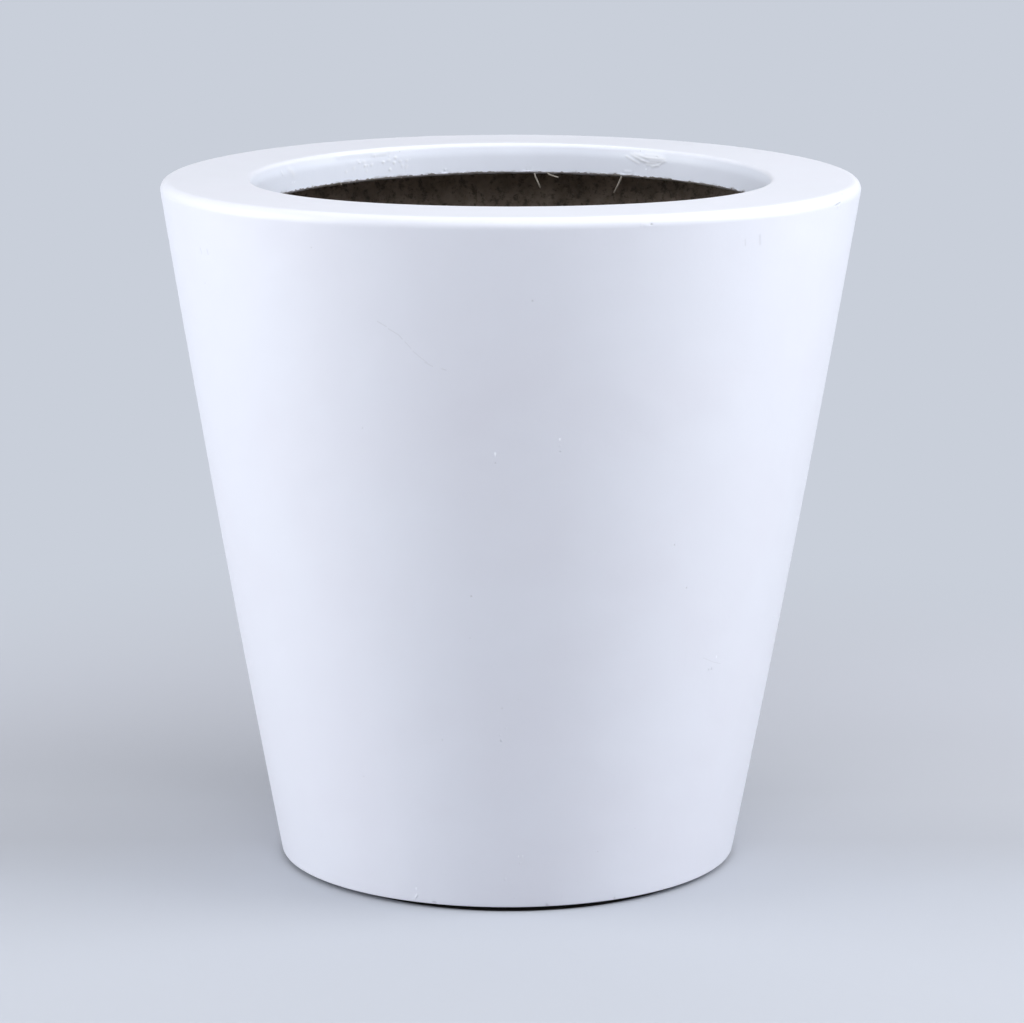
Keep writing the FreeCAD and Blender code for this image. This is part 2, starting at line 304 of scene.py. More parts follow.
def turned_layer():
    """A section, given as points with the first one repeated at the end, turned about the axis and closed."""
    inputs = {"Columns": "Int", **FORM_INPUTS, "Lump Height": "Float", "Lump Size": "Float",
              "Rag Height": "Float", "Material": "Material"}
    tree, given = new_geometry_tree("Turned layer", inputs)
    section = given["Geometry"]
    count = add_node(tree, "GeometryNodeAttributeDomainSize", {0: section}).outputs["Point Count"]
    around = add_node(tree, "ShaderNodeMath", {0: given["Columns"], 1: 1.0}, operation="ADD").outputs[0]
    grid = add_node(tree, "GeometryNodeMeshGrid", {
        "Size X": 1.0, "Size Y": 1.0, "Vertices X": count, "Vertices Y": around}).outputs["Mesh"]
    place = add_node(tree, "GeometryNodeInputPosition").outputs[0]
    parts = add_node(tree, "ShaderNodeSeparateXYZ", {0: place}).outputs
    along = add_node(tree, "ShaderNodeMath", {0: parts["X"], 1: 0.5}, operation="ADD").outputs[0]
    last = add_node(tree, "ShaderNodeMath", {0: count, 1: 1.0}, operation="SUBTRACT").outputs[0]
    steps = add_node(tree, "ShaderNodeMath", {0: along, 1: last}, operation="MULTIPLY").outputs[0]
    station = add_node(tree, "ShaderNodeMath", {0: steps}, operation="ROUND").outputs[0]
    turn = add_node(tree, "ShaderNodeMath", {0: parts["Y"], 1: 0.5}, operation="ADD").outputs[0]
    angle = add_node(tree, "ShaderNodeMath", {0: turn, 1: math.tau}, operation="MULTIPLY").outputs[0]
    sampled = {}
    for label in ("run", "lump", "rag"):
        value = add_node(tree, "GeometryNodeInputNamedAttribute", {"Name": label}).outputs[0]
        sampled[label] = add_node(tree, "GeometryNodeSampleIndex", {
            "Geometry": section, "Value": value, "Index": station}).outputs[0]
    here = add_node(tree, "GeometryNodeSampleIndex", {
        "Geometry": section, "Value": place, "Index": station}, data_type="FLOAT_VECTOR").outputs[0]
    point = add_node(tree, "ShaderNodeSeparateXYZ", {0: here}).outputs
    mean = add_node(tree, "ShaderNodeMath", {0: angle, 1: WRAP_RADIUS}, operation="MULTIPLY").outputs[0]
    wrap = add_node(tree, "ShaderNodeCombineXYZ", {"X": mean, "Y": sampled["run"]}).outputs[0]
    kept = grid
    for label, kind, domain, value in (
            ("UVMap", "FLOAT2", "CORNER", wrap),
            ("lump", "FLOAT", "POINT", sampled["lump"]),
            ("rag", "FLOAT", "POINT", sampled["rag"])):
        kept = add_node(tree, "GeometryNodeStoreNamedAttribute", {
            "Geometry": kept, "Name": label, "Value": value}, data_type=kind, domain=domain).outputs[0]
    cosine = add_node(tree, "ShaderNodeMath", {0: angle}, operation="COSINE").outputs[0]
    sine = add_node(tree, "ShaderNodeMath", {0: angle}, operation="SINE").outputs[0]
    east = add_node(tree, "ShaderNodeMath", {0: cosine, 1: point["X"]}, operation="MULTIPLY").outputs[0]
    north = add_node(tree, "ShaderNodeMath", {0: sine, 1: point["X"]}, operation="MULTIPLY").outputs[0]
    turned = add_node(tree, "ShaderNodeCombineXYZ", {"X": east, "Y": north, "Z": point["Z"]}).outputs[0]
    ring = add_node(tree, "GeometryNodeSetPosition", {"Geometry": kept, "Position": turned}).outputs[0]
    closed = add_node(tree, "GeometryNodeMergeByDistance", {
        "Geometry": ring, "Distance": WELD}).outputs[0]
    form = {label: given[label] for label in FORM_INPUTS}
    laid = add_node(tree, "GeometryNodeGroup", node_tree=bpy.data.node_groups["Hand-laid form"])
    for label, source in {"Geometry": closed, **form}.items():
        tree.links.new(source, laid.inputs[label])
    normal = add_node(tree, "GeometryNodeInputNormal").outputs[0]
    lumpy = add_node(tree, "GeometryNodeInputNamedAttribute", {"Name": "lump"}).outputs[0]
    pace = add_node(tree, "ShaderNodeMath", {0: 1.0, 1: given["Lump Size"]}, operation="DIVIDE").outputs[0]
    lumps = add_node(tree, "ShaderNodeTexNoise", {
        "Vector": place, "Scale": pace, "W": given["Seed"], "Detail": 3.0, "Roughness": 0.55},
        noise_dimensions="4D").outputs[0]
    level = add_node(tree, "ShaderNodeMath", {0: lumps, 1: 0.5}, operation="SUBTRACT").outputs[0]
    height = add_node(tree, "ShaderNodeMath", {
        0: level, 1: given["Lump Height"]}, operation="MULTIPLY").outputs[0]
    both = add_node(tree, "ShaderNodeMath", {0: height, 1: LUMP_GAIN}, operation="MULTIPLY").outputs[0]
    rise = add_node(tree, "ShaderNodeMath", {0: both, 1: lumpy}, operation="MULTIPLY").outputs[0]
    lift = add_node(tree, "ShaderNodeVectorMath", {0: normal, "Scale": rise}, operation="SCALE").outputs[0]
    ragged = add_node(tree, "GeometryNodeInputNamedAttribute", {"Name": "rag"}).outputs[0]
    chips = add_node(tree, "ShaderNodeTexNoise", {
        "Vector": place, "Scale": CHIPS_PER_METRE, "W": given["Seed"], "Detail": 1.0, "Roughness": 0.5},
        noise_dimensions="4D").outputs[0]
    chip = add_node(tree, "ShaderNodeMapRange", {
        "Value": chips, "From Min": 0.25, "From Max": 0.75, "To Max": given["Rag Height"]}).outputs[0]
    trim = add_node(tree, "ShaderNodeMath", {0: chip, 1: ragged}, operation="MULTIPLY").outputs[0]
    cut = add_node(tree, "ShaderNodeCombineXYZ", {"Z": trim}).outputs[0]
    offset = add_node(tree, "ShaderNodeVectorMath", {0: lift, 1: cut}, operation="ADD").outputs[0]
    rough = add_node(tree, "GeometryNodeSetPosition", {
        "Geometry": laid.outputs[0], "Offset": offset}).outputs[0]
    smooth = add_node(tree, "GeometryNodeSetShadeSmooth", {"Geometry": rough}).outputs[0]
    real = add_node(tree, "GeometryNodeRealizeInstances", {"Geometry": smooth}).outputs[0]
    coated = add_node(tree, "GeometryNodeSetMaterial", {
        "Geometry": real, "Material": given["Material"]}).outputs[0]
    add_node(tree, "NodeGroupOutput", {"Geometry": coated})
    return tree


def loose_strands():
    """Short bowed strands strewn over the host's faces, half bedded in them, each turned its own way."""
    inputs = {**FORM_INPUTS, "Strands per Area": "Float", "Strand Length": "Float", "Strand Radius": "Float",
              "Strand Seed": "Int", "Material": "Material"}
    tree, given = new_geometry_tree("Loose strands", inputs)
    laid = add_node(tree, "GeometryNodeGroup", node_tree=bpy.data.node_groups["Hand-laid form"])
    for label in ("Geometry", *FORM_INPUTS):
        tree.links.new(given[label], laid.inputs[label])
    strewn = add_node(tree, "GeometryNodeDistributePointsOnFaces", {
        "Mesh": laid.outputs[0], "Density": given["Strands per Area"], "Seed": given["Strand Seed"]}).outputs
    half = add_node(tree, "ShaderNodeMath", {
        0: given["Strand Length"], 1: 0.5}, operation="MULTIPLY").outputs[0]
    back = add_node(tree, "ShaderNodeMath", {0: half, 1: -1.0}, operation="MULTIPLY").outputs[0]
    bow = add_node(tree, "ShaderNodeMath", {0: half, 1: STRAND_BOW}, operation="MULTIPLY").outputs[0]
    lift = add_node(tree, "ShaderNodeMath", {0: half, 1: STRAND_LIFT}, operation="MULTIPLY").outputs[0]
    start = add_node(tree, "ShaderNodeCombineXYZ", {"X": back}).outputs[0]
    middle = add_node(tree, "ShaderNodeCombineXYZ", {"Y": bow}).outputs[0]
    end = add_node(tree, "ShaderNodeCombineXYZ", {"X": half, "Z": lift}).outputs[0]
    line = add_node(tree, "GeometryNodeCurveQuadraticBezier", {
        "Resolution": 5, "Start": start, "Middle": middle, "End": end}).outputs[0]
    ring = add_node(tree, "GeometryNodeCurvePrimitiveCircle", {
        "Resolution": 5, "Radius": given["Strand Radius"]}).outputs[0]
    strand = add_node(tree, "GeometryNodeCurveToMesh", {
        "Curve": line, "Profile Curve": ring, "Fill Caps": True}).outputs[0]
    size = add_node(tree, "FunctionNodeRandomValue", {
        2: STRAND_SIZES[0], 3: STRAND_SIZES[1], "Seed": given["Strand Seed"]}, data_type="FLOAT").outputs[1]
    placed = add_node(tree, "GeometryNodeInstanceOnPoints", {
        "Points": strewn["Points"], "Instance": strand,
        "Rotation": strewn["Rotation"], "Scale": size}).outputs[0]
    spin = add_node(tree, "FunctionNodeRandomValue", {
        2: 0.0, 3: math.tau, "Seed": STRAND_TURN_SEED}, data_type="FLOAT").outputs[1]
    turn = add_node(tree, "ShaderNodeCombineXYZ", {"Z": spin}).outputs[0]
    turned = add_node(tree, "GeometryNodeRotateInstances", {
        "Instances": placed, "Rotation": turn}).outputs[0]
    real = add_node(tree, "GeometryNodeRealizeInstances", {"Geometry": turned}).outputs[0]
    smooth = add_node(tree, "GeometryNodeSetShadeSmooth", {"Geometry": real}).outputs[0]
    glassy = add_node(tree, "GeometryNodeSetMaterial", {
        "Geometry": smooth, "Material": given["Material"]}).outputs[0]
    add_node(tree, "NodeGroupOutput", {"Geometry": glassy})
    return tree


# Sections


def at(radius, height):
    """A point of a section: its distance from the axis and its height."""
    return Vector((radius, 0, height))


def moved_in(points, depth):
    """The line of points with each of its runs moved by the depth to the left, into the material."""
    steps = []
    for start, end in zip(points, points[1:]):
        run = (end - start).normalized()
        steps.append(Vector((-run.z, 0, run.x)))
    moved = []
    for point, before, after in zip(points, steps[:1] + steps, steps + steps[-1:]):
        both = before + after
        moved.append(point + both * (2 * depth / both.length_squared))
    return moved


def rounded(points, radii, steps=8):
    """The line with its inner corners turned into arcs of those radii."""
    line = [points[0]]
    for before, corner, after, radius in zip(points, points[1:], points[2:], radii):
        back = (before - corner).normalized()
        ahead = (after - corner).normalized()
        half = back.angle(ahead) / 2
        reach = radius / math.tan(half)
        centre = corner + (back + ahead).normalized() * (radius / math.sin(half))
        start = (corner + back * reach - centre).normalized()
        end = (corner + ahead * reach - centre).normalized()
        line += [centre + start.slerp(end, step / steps) * radius for step in range(steps + 1)]
    return line + [points[-1]]


def with_rows(points, spacing, beside=1.2 * MM):
    """Points added along the long runs, evenly, and close beside both ends of each."""
    line = [points[0]]
    for start, end in zip(points, points[1:]):
        length = (end - start).length
        if length > 4 * beside:
            inner_start = start.lerp(end, beside / length)
            inner_end = end.lerp(start, beside / length)
            steps = max(1, math.ceil((length - 2 * beside) / spacing))
            line += [inner_start.lerp(inner_end, step / steps) for step in range(steps + 1)]
        line.append(end)
    return line


def square_outside(form, heel_start):
    """Corners of the finished outside: under the heel, up the wall, over the rim, down the lip."""
    lip_end = form.mouth_radius - form.lip_depth * math.tan(form.lip_draft)
    return [
        at(heel_start, form.foot_height),
        at(form.foot_radius, form.foot_height),
        at(form.rim_radius, form.rim_height),
        at(form.mouth_radius + 1.2 * MM, form.rim_height),
        at(form.mouth_radius - 0.5 * MM, form.rim_height - form.lip_lead),
        at(lip_end, form.rim_height - form.lip_depth),
    ]


def outside_line(form, heel_start, depth, spacing):
    """The finished outside moved in by the depth, its corners rounded, with rows along its long runs."""
    radii = [form.heel_round - depth, form.rim_round - depth, form.mouth_round - depth, 3 * form.lip_lead]
    return with_rows(rounded(moved_in(square_outside(form, heel_start), depth), radii), spacing)


def cut_at(line, height):
    """The line's first part, up to where it first crosses the height, and the rest of it."""
    for number, (start, end) in enumerate(zip(line, line[1:])):
        if start.z < height <= end.z:
            crossing = start.lerp(end, (height - start.z) / (end.z - start.z))
            return line[:number + 1] + [crossing], [crossing] + line[number + 1:]
    raise RuntimeError("the line doesn't reach the height")


def wall_inside(form, height):
    """Radius of the laminate's inner face at a height."""
    slope = math.atan2(form.rim_radius - form.foot_radius, form.rim_height - form.foot_height)
    skin = form.coat_thickness + form.laminate_thickness
    outside = form.foot_radius + (height - form.foot_height) * math.tan(slope)
    return outside - skin / math.cos(slope)


# Pieces


def new_object(name, data):
    """An object of the scene that holds the data."""
    made = bpy.data.objects.new(name, data)
    bpy.context.scene.collection.objects.link(made)
    return made


def object_from(work, name):
    """An object with a mesh of that work, which ends with it."""
    mesh = bpy.data.meshes.new(name)
    work.to_mesh(mesh)
    work.free()
    return new_object(name, mesh)


def section_host(name, outer, inner, rag_at=None):
    """An object that holds the section between two lines, with how rough each of its points gets."""
    points = outer + inner[::-1] + outer[:1]
    lumps = [0.0] * len(outer) + [1.0] * len(inner) + [0.0]
    rags = [0.0] * len(points)
    if rag_at is not None:
        rags = [max(0.0, 1 - (point - rag_at).length / (5 * MM)) for point in points]
    runs = [0.0]
    for start, end in zip(points, points[1:]):
        runs.append(runs[-1] + (end - start).length)
    mesh = bpy.data.meshes.new(name)
    mesh.from_pydata([tuple(point) for point in points], [], [])
    for label, values in (("run", runs), ("lump", lumps), ("rag", rags)):
        mesh.attributes.new(label, "FLOAT", "POINT").data.foreach_set("value", values)
    return new_object(name, mesh)


def face_outwards(mesh):
    """Turns all faces of a closed mesh outwards."""
    work = bmesh.new()
    work.from_mesh(mesh)
    bmesh.ops.recalc_face_normals(work, faces=work.faces)
    if work.calc_volume(signed=True) < 0:
        bmesh.ops.reverse_faces(work, faces=work.faces)
    work.to_mesh(mesh)
    work.free()


def run_tree(host, tree, values):
    """Evaluates the tree on the host with those inputs, and leaves the host holding the plain result."""
    modifier = host.modifiers.new(tree.name, "NODES")
    modifier.node_group = tree
    for item in tree.interface.items_tree:
        if item.in_out == "INPUT" and item.name in values:
            modifier[item.identifier] = values[item.name]
    host.update_tag()
    bpy.context.view_layer.update()
    depsgraph = bpy.context.evaluated_depsgraph_get()
    mesh = bpy.data.meshes.new_from_object(host.evaluated_get(depsgraph))
    if not mesh.polygons:
        raise RuntimeError(host.name + " came out empty")
    host.modifiers.clear()
    host.data = mesh
    mesh.name = host.name


def form_values(scene, lean=True):
    """What the turned layers read, by the names of their inputs; without lean a piece stands upright."""
    form, rough = scene.planter_form, scene.planter_laminate
    return {
        "Columns": form.columns,
        "Foot Height": form.foot_height,
        "Rim Height": form.rim_height,
        "Crown": form.crown if lean else 0.0,
        "Lean": form.lean if lean else 0.0,
        "Saddle": form.saddle,
        "Mouth Radius": form.mouth_radius,
        "Lip Depth": form.lip_depth,
        "Lip Slant": form.lip_slant,
        "Ripple": form.ripple,
        "Ripple Length": form.ripple_length,
        "Lump Height": rough.lump_height,
        "Lump Size": rough.lump_size,
        "Rag Height": rough.rag_height,
        "Seed": float(rough.seed),
    }


def turned_piece(host, material, values, body, nodes):
    """Turns the host's section, makes it a plain closed mesh and fastens it to its body."""
    run_tree(host, bpy.data.node_groups["Turned layer"], {**values, "Material": material})
    face_outwards(host.data)
    host.data.set_sharp_from_angle(angle=SHARP)
    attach(host, body)
    if nodes:
        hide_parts(*nodes)
    return host


# Blemishes of the coat

# Each is on the lip or not, its width and its height in mm (below zero is sunk), how much dust it holds (below
# zero, how much whiter it is drawn, a painted highlight), and the path that it takes: degrees round the axis,
# the front at -90, and mm above the floor
blemishes = [
    # A hairline scratch, broken up, with its fainter tail
    (False, 0.30, -0.05, 0.24, [(-111.7, 521.2), (-110.2, 517.2)]),
    (False, 0.30, -0.05, 0.24, [(-109.9, 515.6), (-108.2, 510.8), (-107.6, 507.4)]),
    (False, 0.30, -0.05, 0.18, [(-107.2, 505.4), (-106.2, 499.8)]),
    (False, 0.30, -0.05, 0.18, [(-105.9, 497.6), (-104.4, 491.4), (-103.6, 488.4)]),
    (False, 0.30, -0.05, 0.20, [(-104.0, 488.6), (-102.7, 485.4)]),
    (False, 0.32, -0.05, 0.22, [(-101.2, 483.8), (-100.5, 482.6)]),
    (False, 0.30, -0.05, 0.14, [(-46.7, 216.7), (-43.5, 210.6), (-40.9, 206.9)]),
    # Pits with a lifted edge, from air under the coat
    (False, 0.8, -0.30, 0.30, [(-86.6, 541.5)]),
    (False, 1.5, 0.16, 0.0, [(-87.3, 540.5)]),
    (False, 0.6, -0.30, 0.35, [(-92.5, 404.1)]),
    (False, 0.9, -0.60, 0.50, [(-68.2, 602.0)]),
    (False, 1.7, 0.28, 0.0, [(-69.0, 601.2)]),
    (False, 0.8, -0.40, 0.42, [(-26.3, 598.1), (-24.3, 599.3)]),
    (False, 1.5, 0.25, 0.0, [(-25.0, 596.6)]),
    (False, 0.8, -0.25, 0.30, [(-22.3, 605.4), (-21.4, 604.9)]),
    (False, 1.3, -0.12, 0.16, [(-47.5, 584.6), (-47.2, 577.5)]),
    (False, 0.9, -0.10, 0.12, [(-50.6, 582.4), (-50.4, 578.0)]),
    (False, 0.6, -0.20, 0.22, [(-150.5, 563.6), (-150.2, 559.4)]),
    (False, 0.6, -0.20, 0.22, [(-148.1, 564.0), (-147.9, 560.2)]),
    (False, 1.5, 0.15, 0.0, [(-149.2, 561.8)]),
    (False, 0.7, -0.30, 0.40, [(-97.1, 287.7)]),
    (False, 0.7, -0.30, 0.32, [(-53.9, 284.1)]),
    (False, 0.7, -0.30, 0.32, [(-58.0, 324.4)]),
    (False, 1.8, -0.90, 0.25, [(-8.0, 509.0), (-8.2, 505.0)]),
    (False, 0.8, -0.45, 0.60, [(38.0, 455.0)]),
    (False, 0.9, -0.45, 0.60, [(121.0, 330.0)]),
    (False, 0.7, -0.35, 0.50, [(166.0, 500.0)]),
    # Nibs of dust under the spray
    (False, 0.8, 0.16, 0.0, [(-81.4, 418.2)]),
    (False, 0.7, 0.30, 0.0, [(-90.5, 170.0)]),
    (False, 0.6, 0.25, 0.0, [(-91.7, 163.6)]),
    (False, 0.6, 0.25, 0.0, [(-87.9, 196.2)]),
    (False, 0.8, 0.40, 0.0, [(-112.9, 8.0), (-112.4, 10.6)]),
    (False, 0.9, 0.45, 0.0, [(-90.6, 30.7)]),
    (False, 0.8, 0.35, 0.0, [(-87.1, 45.6)]),
    (False, 0.6, 0.25, 0.0, [(-98.1, 45.0)]),
    (False, 0.7, 0.30, 0.0, [(64.0, 240.0)]),
    (False, 0.7, 0.30, 0.0, [(-172.0, 190.0)]),
    # Chips at the foot's edge
    (False, 1.1, -0.80, 0.30, [(-80.4, 5.2)]),
    (False, 0.9, -0.70, 0.30, [(-63.1, 5.4)]),
    (False, 0.9, -0.60, 0.30, [(-108.2, 5.6), (-107.6, 5.4)]),
    (False, 1.2, -0.80, 0.40, [(52.0, 5.2)]),
    # A dab of coat and the strokes of the brush that touched up the lip, with pinholes in it; the dab and the
    # strokes are drawn whiter, partly for their fresh coat and partly as painted highlight
    (True, 3.6, 0.60, -0.60, [(58.6, 601.6), (55.6, 601.0), (52.4, 601.6)]),
    (True, 1.1, 0.30, -0.60, [(61.7, 600.9), (60.2, 597.9), (58.5, 594.9)]),
    (True, 1.2, 0.32, -0.70, [(60.6, 602.9), (58.9, 600.0), (57.0, 597.6)]),
    (True, 1.3, 0.35, -0.80, [(59.6, 603.8), (58.0, 602.2), (56.3, 600.6)]),
    (True, 1.2, 0.30, -0.70, [(57.8, 597.5), (55.9, 596.3), (53.7, 596.1)]),
    (True, 1.4, 0.35, -0.80, [(56.7, 603.9), (54.9, 603.6), (53.0, 603.1)]),
    (True, 1.4, 0.32, -0.80, [(55.6, 600.6), (53.2, 600.2), (51.3, 600.9)]),
    (True, 1.2, 0.30, -0.70, [(55.3, 598.3), (53.2, 598.0), (51.0, 598.9)]),
    (True, 1.0, 0.25, -0.60, [(54.8, 592.6), (53.2, 594.7), (51.8, 597.3)]),
    (True, 0.9, 0.25, -0.50, [(56.3, 594.2), (54.6, 593.8), (53.0, 593.9)]),
    (True, 0.6, -0.45, 0.45, [(53.5, 601.9)]),
    (True, 0.6, -0.40, 0.45, [(58.3, 606.0)]),
    # Coat that gathered at the mouth's edge, and two strokes at the lip's left, all drawn whiter as painted
    # highlight
    (True, 2.6, 0.45, -0.45, [(134.0, 605.4), (127.0, 605.6), (119.5, 606.0)]),
    (True, 1.6, 0.25, -0.45, [(124.0, 602.8), (120.5, 603.4)]),
    (True, 2.4, 0.25, -0.50, [(152.0, 600.8), (150.8, 597.8), (150.0, 594.4)]),
    (True, 1.0, 0.25, -0.30, [(155.4, 599.4), (154.6, 596.0)]),
    # Specks near the lip's lower edge
    (True, 1.0, 0.45, 0.0, [(105.5, 586.0)]),
    (True, 0.9, 0.40, 0.0, [(86.0, 585.8)]),
    (True, 1.3, 0.35, 0.0, [(62.0, 586.2), (60.6, 586.0)]),
]
speckled_lip = (114.0, 132.0, 588.0, 604.0)  # degrees round and mm up, where the coat took dust as it dried


def lip_nibs(seed):
    """Nibs strewn over the speckled stretch of the lip, drawn whiter as painted highlight."""
    draw = random.Random(seed)
    first, last, low, high = speckled_lip
    nibs = [(True, draw.uniform(0.9, 1.7), draw.uniform(0.12, 0.32), -0.5,
             [(draw.uniform(first, last), draw.uniform(low, high))]) for _ in range(16)]
    # The larger ones, one by one
    nibs += [(True, 1.2, 0.50, -0.9, [place])
             for place in ((118.0, 599.5), (118.3, 594.9), (119.4, 588.8), (121.2, 596.1), (126.2, 594.1))]
    return nibs


def place_round(form, point):
    """Angle round the leaning axis and distance from it, for a point of the coat."""
    share = (point.z - form.foot_height) / (form.rim_height - form.foot_height)
    middle = -form.lean * (1 - share)
    return math.atan2(point.y, point.x - middle), math.hypot(point.x - middle, point.y)


def coat_radius(form, height, on_lip):
    """Distance from the axis to the wall's outside at a height, or to the lip."""
    if on_lip:
        return form.mouth_radius
    slope = (form.rim_radius - form.foot_radius) / (form.rim_height - form.foot_height)
    return form.foot_radius + (height - form.foot_height) * slope


def distance_to(path, angle, height, radius):
    """How far a place on the coat lies from a path over it."""
    flat = [Vector(((math.radians(turn) - angle) * radius, rise * MM - height)) for turn, rise in path]
    gaps = [flat[0].length]
    for start, end in zip(flat, flat[1:]):
        along = end - start
        share = min(1.0, max(0.0, -start.dot(along) / along.length_squared))
        gaps.append((start + along * share).length)
    return min(gaps)


def marks_by_degree(marks):
    """For each whole degree round the axis, the marks that come within four degrees of it."""
    table = {}
    for mark in marks:
        turns = [turn for turn, rise in mark[-1]]
        for degree in range(math.floor(min(turns)) - 4, math.ceil(max(turns)) + 5):
            table.setdefault(degree, []).append(mark)
    return table


SAME_SKIN = 8 * MM  # a place further than this from a mark's own skin isn't on it


def marks_near(form, table, point, normal, reach):
    """The marks that come within their own reach of a place on the coat's outside, and how near they come."""
    angle, out = place_round(form, point)
    level = Vector((math.cos(angle), math.sin(angle), 0))
    found = []
    for mark in table.get(round(math.degrees(angle)), ()):
        on_lip, width, height, dust_and_highlight, path = mark
        if (-normal if on_lip else normal).dot(level) < 0.1:
            continue
        if abs(out - coat_radius(form, point.z, on_lip)) > SAME_SKIN:
            continue
        gap = distance_to(path, angle, point.z, out)
        if gap < reach(width):
            found.append((mark, gap))
    return found


def mark_coat(form, marks, mesh):
    """Splits the coat's faces round each mark until they are fine enough, then raises or sinks them."""
    work = bmesh.new()
    work.from_mesh(mesh)
    marked = work.verts.layers.float.new("mark")
    table = marks_by_degree(marks)
    faces = list(work.faces)
    # At most five rounds of halving, from rows of 12 mm down to about 0.4 mm
    for _ in range(5):
        chosen = []
        for face in faces:
            size = max(edge.calc_length() for edge in face.edges)
            near = marks_near(form, table, face.calc_center_median(), face.normal,
                              lambda width: 1.9 * width * MM + 0.7 * size)
            if any(size > 0.9 * mark[1] * MM for mark, gap in near):
                chosen.append(face)
        edges = sorted({edge for face in chosen for edge in face.edges}, key=lambda edge: edge.index)
        split = bmesh.ops.subdivide_edges(work, edges=edges, cuts=1, use_grid_fill=True, smooth=1.0)
        fresh = {item for item in split["geom_inner"] if isinstance(item, bmesh.types.BMVert)}
        work.normal_update()
        work.faces.index_update()
        work.edges.index_update()
        faces = sorted({face for vert in fresh for face in vert.link_faces}, key=lambda face: face.index)
    moves = []
    for vert in work.verts:
        rise = dust_and_highlight = 0.0
        for (on_lip, width, height, held, path), gap in marks_near(
                form, table, vert.co, vert.normal, lambda width: 3 * width * MM):
            share = math.exp(-(gap / (width * MM)) ** 2)
            rise += height * MM * share
            # A hold below zero draws the place whiter, a painted highlight
            dust_and_highlight = max(dust_and_highlight, held * share, key=abs)
        if rise:
            moves.append((vert, vert.co + vert.normal * rise, dust_and_highlight))
    for vert, place, dust_and_highlight in moves:
        vert.co = place
        vert[marked] = dust_and_highlight
    work.to_mesh(mesh)
    work.free()


# Materials


def new_material(name):
    """A material, its emptied tree, and the place on the object that its patterns read."""
    material = bpy.data.materials.new(name)
    material.use_nodes = True
    tree = material.node_tree
    tree.nodes.clear()
    return material, tree, add_node(tree, "ShaderNodeTexCoord").outputs["Object"]


def finish_material(tree, shader):
    """Ends the tree in that shader."""
    add_node(tree, "ShaderNodeOutputMaterial", {"Surface": shader.outputs[0]})


def tinted(tree, colour, layers):
    """The colour with each layer's tint laid over it, as far as the layer's factor says."""
    for factor, tint in layers:
        colour = add_node(tree, "ShaderNodeMix", {
            "Factor": factor, 6: colour, 7: tint}, data_type="RGBA").outputs[2]
    return colour


